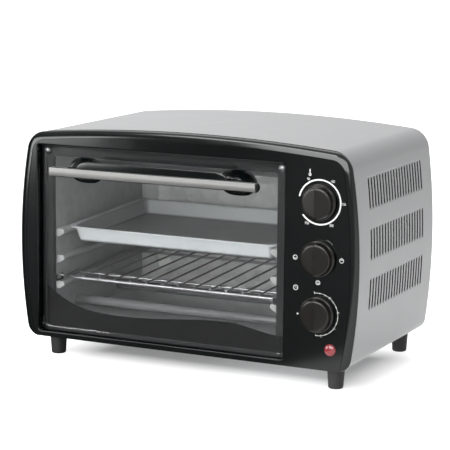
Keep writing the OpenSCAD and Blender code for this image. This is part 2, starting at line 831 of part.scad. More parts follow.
module hinge_pins() {
    color("silver") in_frame() translate([door_mid, 0, 0]) {
        pin_x(-pin_end, hinge_y, hinge_z, hinge_pin_r, pin_end - glass_x - seat);
        pin_x(glass_x + seat, hinge_y, hinge_z, hinge_pin_r,
            pin_end + spring_turns * spring_wire + 2 - glass_x - seat);
    }
}

module hinge_brackets() {
    bracket_h = 12;
    foot_l = 4;
    bracket_y0 = glass_back - 3;
    bracket_z0 = hinge_z - 5;
    color("silver") in_frame() both_sides() difference() {
        union() {
            translate([bracket_x, bracket_y0, bracket_z0])
                cube([bracket_t, bulkhead_y - bracket_y0, bracket_h]);
            translate([bracket_x, bulkhead_y - sheet_t, bracket_z0])
                cube([bracket_t + foot_l, sheet_t, bracket_h]);
        }
        pin_x(bracket_x - eps, hinge_y, hinge_z, hinge_pin_r + run_fit, bracket_t + 2 * eps);
    }
}

// The spring that helps the door up, wound round the right hinge pin; its turns lie side by side.
module door_spring() {
    r = spring_wire / 2;
    x0 = door_mid + bracket_x + bracket_t + seat;
    lap = 0.96;
    color("gray") in_frame() {
        translate([x0 + r, hinge_y, hinge_z]) rotate([0, 90, 0]) rotate_extrude()
            for (i = [0:spring_turns - 1]) translate([spring_r, i * spring_wire * lap]) circle(r, $fn = 16);
        translate([x0 + r, hinge_y + spring_r, hinge_z]) cylinder(r = r - run_fit, h = 16);
    }
}

// ---------- Handle ----------

// A flat oval that runs back from y0, as wide as w and as high as h.
module oval(w, h, y0, t) {
    slab(y0, t) {
        for (s = [-1, 1]) translate([s * (w - h) / 2, 0]) circle(h / 2, $fn = 32);
        square([w - h, h], center = true);
    }
}

module handle() {
    bar_h = strip_h + 2.2;
    bar_half = handle_l / 2 + bar_over;
    bar_back = bar_y + bar_t;
    color("black") in_frame() translate([door_mid, 0, handle_z]) difference() {
        union() {
            // The bar is flat behind the strip and rounded at the back.
            carried(-bar_half, 2 * bar_half)
                polygon(concat(
                    [[bar_y, -bar_h / 2]],
                    [for (a = [-90:15:90]) [bar_y + 1 + (bar_t - 1) * cos(a), bar_h / 2 * sin(a)]],
                    [[bar_y, bar_h / 2]]));
            for (x = post_xs) translate([x, 0, 0]) hull() {
                oval(post_w, post_h, glass_back - 2, 2);
                oval(post_w - 9, bar_h - 1, bar_back - 3, 1);
            }
        }
        for (x = post_xs) pin_y(x, bar_back - 1, 0, screw_r - run_fit, glass_back - bar_back + 1 + eps);
    }
}

module handle_strip() {
    color("silver") in_frame() translate([door_mid, 0, handle_z])
        slab(-handle_reach, strip_t) rounded(-handle_l / 2, -strip_h / 2, handle_l / 2, strip_h / 2, 0.8);
}

module handle_screws() {
    head_h = 1.8;
    color("silver") in_frame() translate([door_mid, 0, handle_z]) for (x = post_xs) {
        pin_y(x, glass_y1, 0, 3.6, head_h);
        pin_y(x, glass_back - 7, 0, screw_r - 2 * run_fit, glass_t + 7.5);
    }
}

// ---------- Controls ----------

// A round shaft with a flat at its front end, standing out of the oven at a dial.
module control_shaft(z) {
    difference() {
        pin_y(dial_x, shaft_y0, z, shaft_r, shaft_y1 - shaft_y0);
        translate([dial_x - shaft_r, shaft_y0 - eps, z + flat_r]) cube([2 * shaft_r, flat_l + eps, shaft_r]);
    }
}

// A knob: a tapered disc whose front falls away both sides of an upright ridge.
module knob(z) {
    y0 = -knob_reach;
    depth = knob_reach - knob_gap;
    top_r = knob_r - 2.9;
    skirt = 3;
    color([0.16, 0.14, 0.13]) in_frame() translate([dial_x, 0, z]) difference() {
        rotate([90, 0, 0]) translate([0, 0, knob_gap]) rotate_extrude($fn = 64)
            polygon([[0, 0], [knob_r, 0], [knob_r, skirt], [knob_r - 0.5, skirt + 0.6], [top_r, depth - 1],
                [top_r - 1, depth], [0, depth]]);
        for (s = [0, 1]) mirror([s, 0, 0])
            translate([0, y0, 0]) rotate([0, 0, knob_slope]) translate([0.6, -knob_r, -knob_r - eps])
                cube([2 * knob_r, knob_r, 2 * (knob_r + eps)]);
        difference() {
            pin_y(0, shaft_y0 - run_fit, 0, shaft_r + run_fit, -shaft_y0);
            translate([-knob_r, shaft_y0 - eps, flat_r + run_fit])
                cube([2 * knob_r, flat_l, shaft_r]);
        }
    }
}

// The threaded bush that fixes a control to the bulkhead, and the bore that its shaft turns in.
module control_bush(z) {
    pin_y(dial_x, bush_y, z, bush_r, chamber_y0 - bush_y + 1);
}

module control_bore(z) {
    pin_y(dial_x, bush_y - eps, z, shaft_r + run_fit, shaft_y1 + 1 - bush_y + eps);
}

module terminals(x, y, z) {
    for (s = [-1, 1]) translate([x + s * 7 - 3, y, z - 0.4]) cube([6.3, 9, 0.8]);
}

module thermostat() {
    z = dial_zs[0];
    depth = 20;
    color("tan") in_frame() difference() {
        union() {
            control_bush(z);
            pin_y(dial_x, chamber_y0, z, 19, depth);
            translate([dial_x - 24, chamber_y0, z - 9]) cube([48, 1.2, 18]);
            terminals(dial_x, chamber_y0 + depth - 1, z + 8);
            terminals(dial_x, chamber_y0 + depth - 1, z - 8);
        }
        control_bore(z);
    }
}

module selector_switch() {
    z = dial_zs[1];
    half = 15;
    depth = 24;
    color("ivory") in_frame() difference() {
        union() {
            control_bush(z);
            slab(chamber_y0, depth) rounded(dial_x - half, z - half, dial_x + half, z + half, 4);
            terminals(dial_x, chamber_y0 + depth - 1, z + 9);
            terminals(dial_x, chamber_y0 + depth - 1, z - 9);
        }
        control_bore(z);
    }
}

module timer() {
    z = dial_zs[2];
    color("silver") in_frame() difference() {
        union() {
            control_bush(z);
            pin_y(dial_x, chamber_y0, z, timer_r, timer_depth);
            pin_y(dial_x, bell_y - bell_gap, z, 3, bell_gap - bell_t);
        }
        control_bore(z);
    }
}

// The bell on the back of the timer: a thin dished cup on a post.
module timer_bell() {
    bell_r = 19;
    bell_h = 5.4;
    hub_r = 8;
    color("gainsboro") in_frame() translate([dial_x, bell_y, dial_zs[2]]) rotate([90, 0, 0]) rotate_extrude()
        polygon([[0, 0], [hub_r, 0], [bell_r - 3, 2], [bell_r, 4.4], [bell_r, bell_h],
            [bell_r - bell_t, bell_h], [bell_r - bell_t, 5], [bell_r - 3.6, 3], [hub_r, bell_t],
            [0, bell_t]]);
}

module thermostat_shaft() {
    color("silver") in_frame() control_shaft(dial_zs[0]);
}

module selector_shaft() {
    color("silver") in_frame() control_shaft(dial_zs[1]);
}

module timer_shaft() {
    color("silver") in_frame() control_shaft(dial_zs[2]);
}

module thermostat_knob() {
    knob(dial_zs[0]);
}

module selector_knob() {
    knob(dial_zs[1]);
}

module timer_knob() {
    knob(dial_zs[2]);
}

module control_nuts() {
    across = 8;
    color("goldenrod") in_frame() for (z = dial_zs) difference() {
        pin_y(dial_x, bulkhead_y - nut_t, z, across, nut_t, $fn = 6);
        pin_y(dial_x, bulkhead_y - nut_t - eps, z, bush_r + run_fit, nut_t + 2 * eps);
    }
}

// ---------- Lamp ----------

module lamp_lens() {
    rise = 2;
    ball_r = (lamp_r * lamp_r + rise * rise) / (2 * rise);
    color("red") in_frame() translate([lamp_x, 0, lamp_z]) union() {
        intersection() {
            translate([0, ball_r - rise - 0.4, 0]) sphere(ball_r);
            pin_y(0, -rise - eps, 0, lamp_r, rise + eps);
        }
        pin_y(0, -0.5, 0, lamp_r - 1 - seat, lamp_y1 + 0.5);
    }
}

module lamp_holder() {
    color("dimgray") in_frame() {
        pin_y(lamp_x, lamp_y1, lamp_z, lamp_r - 1, 22);
        pin_y(lamp_x, bulkhead_y - 2, lamp_z, lamp_r + 1.5, 2);
    }
}

// ---------- Feet ----------

// A rubber foot: tapered, with a rounded lower edge and a blind hole for its screw.
module foot(x, y) {
    edge_r = 2;
    hole_h = foot_screw_in + 1;
    color([0.07, 0.07, 0.07]) in_frame() translate([x, y, 0]) difference() {
        rotate_extrude() polygon(concat(
            [[0, 0]],
            arc([foot_base_r - edge_r, edge_r], edge_r, -90, 0, 5),
            [[foot_top_r, foot_h], [0, foot_h]]));
        translate([0, 0, foot_h - hole_h]) cylinder(r = screw_r, h = hole_h + eps);
    }
}

module foot_front_left() {
    foot(-foot_x, foot_front_y);
}

module foot_front_right() {
    foot(foot_x, foot_front_y);
}

module foot_back_left() {
    foot(-foot_x, foot_back_y);
}

module foot_back_right() {
    foot(foot_x, foot_back_y);
}

module foot_screws() {
    head_h = 2;
    color("silver") in_frame() for (x = [-foot_x, foot_x], y = foot_ys) translate([x, y, 0]) {
        translate([0, 0, foot_h - foot_screw_in])
            cylinder(r = screw_r - run_fit, h = foot_screw_in + 2 * sheet_t + head_h / 2);
        translate([0, 0, plate_z]) cylinder(r = 4, h = head_h);
    }
}

casing_cover();
base_panel();
rear_panel();
rear_screws();
cord_gland();
terminal_block();
front_bezel();
bezel_screws();
bulkhead();
chamber_left();
chamber_right();
chamber_roof();
chamber_floor();
chamber_back();
crumb_tray();
upper_heaters();
lower_heaters();
heater_caps();
wire_rack();
baking_pan();
door_glass();
glass_band();
door_frame();
corner_screws();
hinge_pins();
hinge_brackets();
door_spring();
handle();
handle_strip();
handle_screws();
thermostat();
thermostat_shaft();
thermostat_knob();
selector_switch();
selector_shaft();
selector_knob();
timer();
timer_bell();
timer_shaft();
timer_knob();
control_nuts();
lamp_lens();
lamp_holder();
foot_front_left();
foot_front_right();
foot_back_left();
foot_back_right();
foot_screws();
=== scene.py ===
"""Countertop toaster oven: smooth outer pieces, finishes, floor, lamps and camera.

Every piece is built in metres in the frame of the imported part: +X to the right seen from the front,
+Y to the back, +Z up, with the floor at z = 0.
"""

import math

import bmesh
import bpy
import numpy as np
from bpy.props import FloatProperty, FloatVectorProperty, IntProperty, PointerProperty
from mathutils import Matrix, Vector


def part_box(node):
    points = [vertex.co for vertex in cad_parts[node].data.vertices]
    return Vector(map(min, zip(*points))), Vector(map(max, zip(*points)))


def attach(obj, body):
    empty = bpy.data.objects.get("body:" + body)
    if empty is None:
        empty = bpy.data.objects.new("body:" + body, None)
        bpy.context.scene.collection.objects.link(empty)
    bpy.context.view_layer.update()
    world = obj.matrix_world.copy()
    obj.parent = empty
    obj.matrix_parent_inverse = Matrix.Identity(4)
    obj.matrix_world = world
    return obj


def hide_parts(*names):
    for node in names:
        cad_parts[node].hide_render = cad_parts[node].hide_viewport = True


bl_info = {
    "name": "Countertop toaster oven",
    "version": (1, 0, 0),
    "blender": (4, 5, 0),
    "location": "View3D > Sidebar > Oven",
    "description": "Builds the smooth pieces and finishes of a small toaster oven",
    "category": "Add Mesh",
}

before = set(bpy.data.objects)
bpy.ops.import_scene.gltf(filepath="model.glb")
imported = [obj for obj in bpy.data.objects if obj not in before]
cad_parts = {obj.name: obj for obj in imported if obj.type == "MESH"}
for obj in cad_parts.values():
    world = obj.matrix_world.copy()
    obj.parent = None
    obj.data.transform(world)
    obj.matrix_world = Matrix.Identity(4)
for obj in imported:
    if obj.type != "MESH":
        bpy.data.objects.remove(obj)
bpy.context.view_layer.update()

MM = 0.001
TAU = 2 * math.pi


def low(node):
    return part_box(node)[0]


def high(node):
    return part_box(node)[1]


def middle(node):
    return (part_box(node)[0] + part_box(node)[1]) / 2


def frame_y(behind_face):
    """Depth of a point that lies so far behind the bezel face."""
    return low("front_bezel").y + behind_face


# ---------- What a user may change ----------


def length(name, description, default):
    return FloatProperty(name=name, description=description, default=default, unit="LENGTH")


def colour(name, description, default):
    return FloatVectorProperty(name=name, description=description, default=default, subtype="COLOR",
                               size=3, min=0, max=1)


class OvenSizes(bpy.types.PropertyGroup):
    side_radius: length("Side radius", "Radius of the curved sides", 0.7)
    crown_radius: length("Crown radius", "Radius of the curved top", 1.7)
    belly_height: length("Belly height", "Height of the widest point", 0.122)
    top_corner: length("Top corner", "Radius of the top corners", 0.022)
    bottom_corner: length("Bottom corner", "Radius of the bottom corners", 0.013)
    sheet: length("Sheet", "Thickness of the steel sheet", 0.0008)
    bezel_depth: length("Bezel depth", "Depth of the bezel at the seam", 0.0093)
    face_inset: length("Face inset", "How far the flat face is set in from the outline", 0.0075)
    rim_over: length("Rim over", "How far the bezel's rim stands out past the casing", 0.004)
    rim_radius: length("Rim radius", "Radius of the bezel's curved sides", 0.56)
    rim_depth: length("Rim depth", "Distance of the widest line behind the face", 0.003)
    groove: length("Groove", "Width and depth of the groove round the face", 0.0006)
    seam_inset: length("Seam inset", "How far the seam is set in from the outline", 0.0012)
    opening_corner: length("Opening corner", "Radius of the corners of the door opening", 0.003)
    slot_width: length("Slot width", "Width of a vent slot", 0.003)
    slot_height: length("Slot height", "Height of a vent slot", 0.03)
    slot_pitch: length("Slot pitch", "Distance between the vent slots", 0.0076)
    slot_row_pitch: length("Row pitch", "Distance between the rows of slots", 0.05)
    slot_foot: length("Lowest row", "Height of the middle of the lowest row", 0.093)
    slot_count: IntProperty(name="Slots", description="Number of slots in a row", default=20,
                            min=2, max=22)
    knob_slope: FloatProperty(name="Knob slope", description="Slope of a knob's two faces",
                              default=math.radians(10), subtype="ANGLE")


class OvenColours(bpy.types.PropertyGroup):
    silver: colour("Silver", "Paint of the casing", (0.355, 0.358, 0.366))
    black: colour("Black", "Gloss moulding", (0.0014, 0.0022, 0.0023))
    knob: colour("Knob", "Brown black of the knobs", (0.007, 0.0058, 0.0048))
    steel: colour("Liner steel", "Zinc-coated sheet inside", (0.8, 0.81, 0.81))
    strip: colour("Strip", "Brushed strip of the handle", (0.195, 0.195, 0.191))
    pan: colour("Pan", "Pale enamel of the pan", (0.67, 0.7, 0.71))
    print_ink: colour("Ink", "White print round the dials", (0.75, 0.75, 0.74))
    lamp: colour("Lamp", "Red lens", (0.2, 0.018, 0.024))
    floor: colour("Floor", "Floor and backdrop", (0.6, 0.6, 0.6))


def sizes():
    return bpy.context.scene.oven_sizes


def colours():
    return bpy.context.scene.oven_colours


# ---------- Meshes from arrays ----------

MERGE_WITHIN, FLAT_BELOW, SAME_WITHIN = 2e-6, 1e-7, 1e-6


def quads(rows, columns, mask=None):
    """Four corners of each cell of a rows by columns grid; mask keeps cells."""
    index = np.arange(rows * columns).reshape(rows, columns)
    cells = np.stack([index[:-1, :-1], index[1:, :-1], index[1:, 1:], index[:-1, 1:]], axis=-1)
    return cells[mask] if mask is not None else cells.reshape(-1, 4)


class Skin:
    """Gathers grids of points, and turns them into one mesh with shared edges."""

    def __init__(self):
        self.points, self.faces, self.count = [], [], 0

    def grid(self, points, mask=None):
        points = np.asarray(points, float)
        self.faces.extend((quads(*points.shape[:2], mask=mask) + self.count).tolist())
        self.points.append(points.reshape(-1, 3))
        self.count += len(self.points[-1])

    def bar(self, rows):
        """A four-sided bar with its ends: five rows of points, the last the same as the first."""
        self.grid(rows)
        for end in (0, -1):
            self.grid([[rows[0][end], rows[3][end]], [rows[1][end], rows[2][end]]])

    def piece(self, name, body, finish_name, replaces=None, outward=True, sharp=35,
              thick=None):
        """Makes the object: doubles merged, closed skins turned outwards, smooth below sharp.

        Its slot is the finish's name.
        """
        data = bpy.data.meshes.new(name)
        data.from_pydata(np.concatenate(self.points).tolist(), [], self.faces)
        work = bmesh.new()
        work.from_mesh(data)
        bmesh.ops.remove_doubles(work, verts=work.verts, dist=MERGE_WITHIN)
        bmesh.ops.dissolve_degenerate(work, edges=work.edges, dist=FLAT_BELOW)
        if outward:
            bmesh.ops.recalc_face_normals(work, faces=work.faces)
        work.to_mesh(data)
        work.free()
        data.shade_smooth()
        data.set_sharp_from_angle(angle=math.radians(sharp))
        made = bpy.data.objects.new(name, data)
        bpy.context.scene.collection.objects.link(made)
        data.materials.append(material(finish_name))
        if thick:
            wall = made.modifiers.new("Wall", "SOLIDIFY")
            wall.thickness, wall.offset = thick, -1
        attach(made, body)
        if replaces:
            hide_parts(replaces)
        return made


def turn_faces(made, score):
    """Turns an open skin's faces so that the sum of score over them is above zero."""
    work = bmesh.new()
    work.from_mesh(made.data)
    bmesh.ops.recalc_face_normals(work, faces=work.faces)
    if sum(score(face) for face in work.faces) < 0:
        bmesh.ops.reverse_faces(work, faces=work.faces)
    work.to_mesh(made.data)
    work.free()


def revolved(profile, centre, steps, axis="y"):
    """Profile points (radius, distance along the axis) turned about the axis through centre."""
    profile = np.asarray(profile, float)
    turn = np.linspace(0, TAU, steps + 1)[:, None]
    r, along = profile[:, 0], profile[:, 1]
    a, b, c = r * np.cos(turn), r * np.sin(turn), along + 0 * turn
    order = {"x": (c, a, b), "y": (a, c, b), "z": (a, b, c)}[axis]
    return np.stack(order, axis=-1) + np.asarray(centre)


def fillet(corner, before, after, radius, steps):
    """A rounded corner: a quadratic curve from one edge to the other, radius away from it."""
    corner, before, after = (np.asarray(p, float) for p in (corner, before, after))
    start = corner + radius * (before - corner) / np.linalg.norm(before - corner)
    end = corner + radius * (after - corner) / np.linalg.norm(after - corner)
    t = np.linspace(0, 1, steps + 1)[:, None]
    return (1 - t) ** 2 * start + 2 * t * (1 - t) * corner + t**2 * end


def softened(points, radii, steps=4):
    """A chain of points with each inner corner rounded by its own radius."""
    chain = [fillet(points[i + 1], points[i], points[i + 2], r, steps) for i, r in enumerate(radii)]
    return np.concatenate([[points[0]], *chain, [points[-1]]])


def squared(wave, power):
    """A sine or cosine raised to a power with its sign kept, which squares off a circle."""
    return np.sign(wave) * np.abs(wave) ** power


TUBE_TIPS, TUBE_DOME = np.array([0.0, 0.6, 0.9]), 0.12


def tube(path, radius, sides, closed=False):
    """A round bar along a path: a circle carried square to the path, with low domed ends."""
    path = np.asarray(path, float)
    if closed:
        path = np.concatenate([path, path[:1]])
    run = np.gradient(path, axis=0)
    if closed:
        run[0] = run[-1] = path[1] - path[-2]
    run /= np.linalg.norm(run, axis=1)[:, None]
    up = [0.0, 0.0, 1.0] if abs(run[:, 2]).max() < 0.9 else [1.0, 0.0, 0.0]
    side = np.cross(run, up)
    side /= np.linalg.norm(side, axis=1)[:, None]
    over = np.cross(side, run)
    turn = np.linspace(0, TAU, sides + 1)[None, :, None]
    ring = np.cos(turn) * side[:, None] + np.sin(turn) * over[:, None]
    body = path[:, None] + radius * ring
    if closed:
        return body
    scale = TUBE_TIPS[:, None, None]
    first, last = (
        path[end] + radius * (scale * ring[end] + sign * TUBE_DOME * (1 - scale) * run[end])
        for end, sign in ((0, -1), (-1, 1)))
    return np.concatenate([first, body, last[::-1]])


def rounded_loop(x0, z0, x1, z1, r, steps):
    """A rectangle with quarter-circle corners, as points (x, z) anticlockwise from the right."""
    turn, quarter = np.linspace(0, math.pi / 2, steps + 1), math.pi / 2
    corners = [(x1 - r, z1 - r), (x0 + r, z1 - r), (x0 + r, z0 + r), (x1 - r, z0 + r)]
    return np.concatenate([
        np.stack([x + r * np.cos(turn + k * quarter), z + r * np.sin(turn + k * quarter)], -1)
        for k, (x, z) in enumerate(corners)])


# ---------- The oven's front view ----------

# Steps along the bottom corner, the side, the top corner and the crown.
OUTLINE_STEPS = (40, 160, 60, 120)


def arc_points(centre, r, start, end, steps):
    turn = np.linspace(start, end, steps + 1)
    return np.stack([centre[0] + r * np.cos(turn), centre[1] + r * np.sin(turn)], -1)


def angle_of(v):
    return math.atan2(v[1], v[0])


def outline_parts(inset, raised, flare):
    """Centres and radii of the right half of the front view, and the angles where they meet.

    The parts are the bottom corner, side, top corner and crown. Flare is 0 for the casing and 1 for
    the bezel's widest line, whose sides stand out and curve more.
    """
    s = sizes()
    box_low, box_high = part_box("casing_cover")
    half, top, foot = box_high.x + flare * s.rim_over, box_high.z, box_low.z
    side_r = s.side_radius + flare * (s.rim_radius - s.side_radius)
    side_c = np.array([half - side_r, s.belly_height])
    crown_c = np.array([0, top - s.crown_radius])
    ra, rb = side_r - s.top_corner, s.crown_radius - s.top_corner
    d = crown_c - side_c
    gap = np.linalg.norm(d)
    along = (ra**2 - rb**2 + gap**2) / (2 * gap)
    off = math.sqrt(ra**2 - along**2)
    corner_c = side_c + along * d / gap + off * np.array([-d[1], d[0]]) / gap
    r = s.bottom_corner - inset
    z = foot + raised + r
    low_c = np.array([side_c[0] + math.sqrt((side_r - inset - r) ** 2 - (z - side_c[1]) ** 2), z])
    return {
        "low": (low_c, r), "side": (side_c, side_r - inset),
        "corner": (corner_c, s.top_corner - inset), "crown": (crown_c, s.crown_radius - inset),
        "angles": [angle_of(v) for v in (low_c - side_c, corner_c - side_c, corner_c - crown_c)],
    }


def outline(inset, raised, flare):
    """The closed front view as points (x, z): four arcs on the right, mirrored on the left."""
    part = outline_parts(inset, raised, flare)
    a_low, a_side, a_crown = part["angles"]
    right = np.concatenate([
        arc_points(*part["low"], -math.pi / 2, a_low, OUTLINE_STEPS[0]),
        arc_points(*part["side"], a_low, a_side, OUTLINE_STEPS[1])[1:],
        arc_points(*part["corner"], a_side, a_crown, OUTLINE_STEPS[2])[1:],
        arc_points(*part["crown"], a_crown, math.pi / 2, OUTLINE_STEPS[3])[1:]])
    return np.concatenate([right, right[-2::-1] * [-1, 1]])


def cross(a, b):
    return a[..., 0] * b[..., 1] - a[..., 1] * b[..., 0]


def reach(loop, centre, turn):
    """Distance from centre to a closed loop in each direction of turn.

    The side of the loop from p to q is met at cross(p, q) / cross(direction, q - p).
    """
    d = loop - centre
    d = d[np.append(True, np.linalg.norm(np.diff(d, axis=0), axis=1) > FLAT_BELOW)]
    angles = np.arctan2(d[:, 1], d[:, 0])
    order = np.argsort(angles)
    angles, d = angles[order], d[order]
    turn = np.mod(np.asarray(turn) + math.pi, TAU) - math.pi
    at = np.searchsorted(angles, turn, side="right")
    p, q = d[at - 1], d[at % len(d)]
    ray = np.stack([np.cos(turn), np.sin(turn)], -1)
    return cross(p, q) / cross(ray, q - p)


# ---------- Shader nodes and groups ----------


def node(tree, kind, values=None, **settings):
    """A shader node with its settings and its inputs' values or links set."""
    made = tree.nodes.new(kind)
    for key, value in settings.items():
        setattr(made, key, value)
    for key, value in (values or {}).items():
        socket = made.inputs[key]
        if isinstance(value, bpy.types.NodeSocket):
            tree.links.new(value, socket)
        else:
            socket.default_value = value
    return made


def calc(tree, operation, *values):
    """The result of one Math node."""
    return node(tree, "ShaderNodeMath", dict(enumerate(values)), operation=operation).outputs[0]


def vector(tree, operation, *values, scale=None):
    """The result of one Vector Math node."""
    given = dict(enumerate(values))
    if scale is not None:
        given["Scale"] = scale
    made = node(tree, "ShaderNodeVectorMath", given, operation=operation)
    return made.outputs["Value" if operation in ("DOT_PRODUCT", "LENGTH") else "Vector"]


def mix(tree, factor, first, second):
    return node(tree, "ShaderNodeMix", {0: factor, 2: first, 3: second}).outputs[0]


def spread(tree, value, from_low, from_high, to_low, to_high):
    """The value carried from one range to another, and held at its ends."""
    return node(tree, "ShaderNodeMapRange", {
        "Value": value, "From Min": from_low, "From Max": from_high, "To Min": to_low,
        "To Max": to_high}).outputs["Result"]


def coordinates(tree, kind="Object"):
    return node(tree, "ShaderNodeTexCoord").outputs[kind]


def noise(tree, place, scale, detail, **more):
    return node(tree, "ShaderNodeTexNoise",
                {"Vector": place, "Scale": scale, "Detail": detail, **more}).outputs


def facing(tree, way):
    """How far the surface faces along a fixed direction, from -1 to 1."""
    return vector(tree, "DOT_PRODUCT", coordinates(tree, "Normal"), way)


def shaded(tree, colour_socket, factor, amount):
    """The colour multiplied by one plus amount times (factor minus a half)."""
    swing = calc(tree, "SUBTRACT", factor, 0.5)
    gain = calc(tree, "MULTIPLY_ADD", swing, amount, 1.0)
    return vector(tree, "SCALE", colour_socket, scale=gain)


def surface_group(name, **inputs):
    """An empty shader group with named inputs, and the function that sets its three outputs."""
    tree = bpy.data.node_groups.new(name, "ShaderNodeTree")
    kinds = {"Colour": "NodeSocketColor", "Scale": "NodeSocketVector"}
    for label, default in inputs.items():
        socket = tree.interface.new_socket(label, in_out="INPUT",
                                           socket_type=kinds.get(label, "NodeSocketFloat"))
        socket.default_value = (*default, 1) if label == "Colour" else default
    for label in ("Colour", "Roughness", "Height"):
        tree.interface.new_socket(label, in_out="OUTPUT",
                                  socket_type=kinds.get(label, "NodeSocketFloat"))
    given = tree.nodes.new("NodeGroupInput").outputs
    out = tree.nodes.new("NodeGroupOutput").inputs

    def end(made_colour, roughness, height):
        for label, value in (("Colour", made_colour), ("Roughness", roughness), ("Height", height)):
            tree.links.new(value, out[label])
        return tree

    return tree, given, end


def grain_group():
    """Fine lines: noise stretched along one axis, as a shift of colour, roughness and height."""
    tree, given, end = surface_group("Brushed grain", Colour=(0.5, 0.5, 0.5), Scale=(20, 900, 900),
                                     Roughness=0.3, Depth=0.3)
    place = coordinates(tree)
    fine = noise(tree, vector(tree, "MULTIPLY", place, given["Scale"]), 1.0, 3.0)["Fac"]
    swing = spread(tree, noise(tree, place, 14.0, 2.0)["Fac"], 0.3, 0.7, -0.05, 0.05)
    return end(shaded(tree, given["Colour"], fine, given["Depth"]),
               calc(tree, "ADD", given["Roughness"], swing), fine)


def spangle_group():
    """Zinc crystals: cells of slightly different grey, with soft blotches over them."""
    tree, given, end = surface_group("Zinc spangle", Colour=(0.5, 0.5, 0.5), Size=90.0, Amount=0.25,
                                     Roughness=0.4)
    place = coordinates(tree)
    warp = noise(tree, place, 60.0, 2.0)["Color"]
    bent = vector(tree, "MULTIPLY_ADD", warp, (0.006, 0.006, 0.006), place)
    cells = node(tree, "ShaderNodeTexVoronoi", {"Vector": bent, "Scale": given["Size"]})
    level = node(tree, "ShaderNodeSeparateColor", {"Color": cells.outputs["Color"]}).outputs[0]
    crystal = shaded(tree, given["Colour"], level, given["Amount"])
    swing = spread(tree, level, 0, 1, -0.06, 0.08)
    return end(shaded(tree, crystal, noise(tree, place, 9.0, 4.0)["Fac"], 0.3),
               calc(tree, "ADD", given["Roughness"], swing), level)


def moulded_group():
    """Moulded plastic or paint: a faint ripple, and roughness that varies as if lightly handled."""
    tree, given, end = surface_group("Moulded surface", Colour=(0.02, 0.02, 0.02), Ripple=220.0,
                                     Roughness=0.2, Handling=0.08)
    place = coordinates(tree)
    fine = noise(tree, place, given["Ripple"], 3.0)["Fac"]
    smear = spread(tree, noise(tree, place, 17.0, 5.0, Distortion=0.6)["Fac"], 0.35, 0.75, 0.0, 1.0)
    return end(shaded(tree, given["Colour"], fine, 0.12),
               calc(tree, "MULTIPLY_ADD", smear, given["Handling"], given["Roughness"]), fine)


GROUPS = {}


def group_tree(name):
    """One of the shared shader groups, made the first time it is asked for."""
    makers = {"grain": grain_group, "spangle": spangle_group, "moulded": moulded_group}
    if name not in GROUPS:
        GROUPS[name] = makers[name]()
    return GROUPS[name]


# ---------- Finishes ----------

BUMP_DISTANCE = 0.2 * MM
# A face counts as turned to a way between these cosines of the angle to it.
TURNED = (0.3, 0.7)
# Painted shade in the pan: how far below the lip the floor darkens, and the tones of floor and side
# walls.
PAN_FLOOR_BELOW, PAN_FLOOR_SHADE, PAN_SIDE_SHADE = (14.6 * MM, 12.4 * MM), 0.36, 0.5
# Painted highlight on the back's bevel: where a face counts as turned to +x, and the flats' darker
# tone.
HIGHLIGHT_TURNED, FLAT_SHADE = (0.1, 0.35), 0.78
GLASS_TINT, GLASS_EDGE_SHADE = (0.985, 0.99, 0.988), 0.02

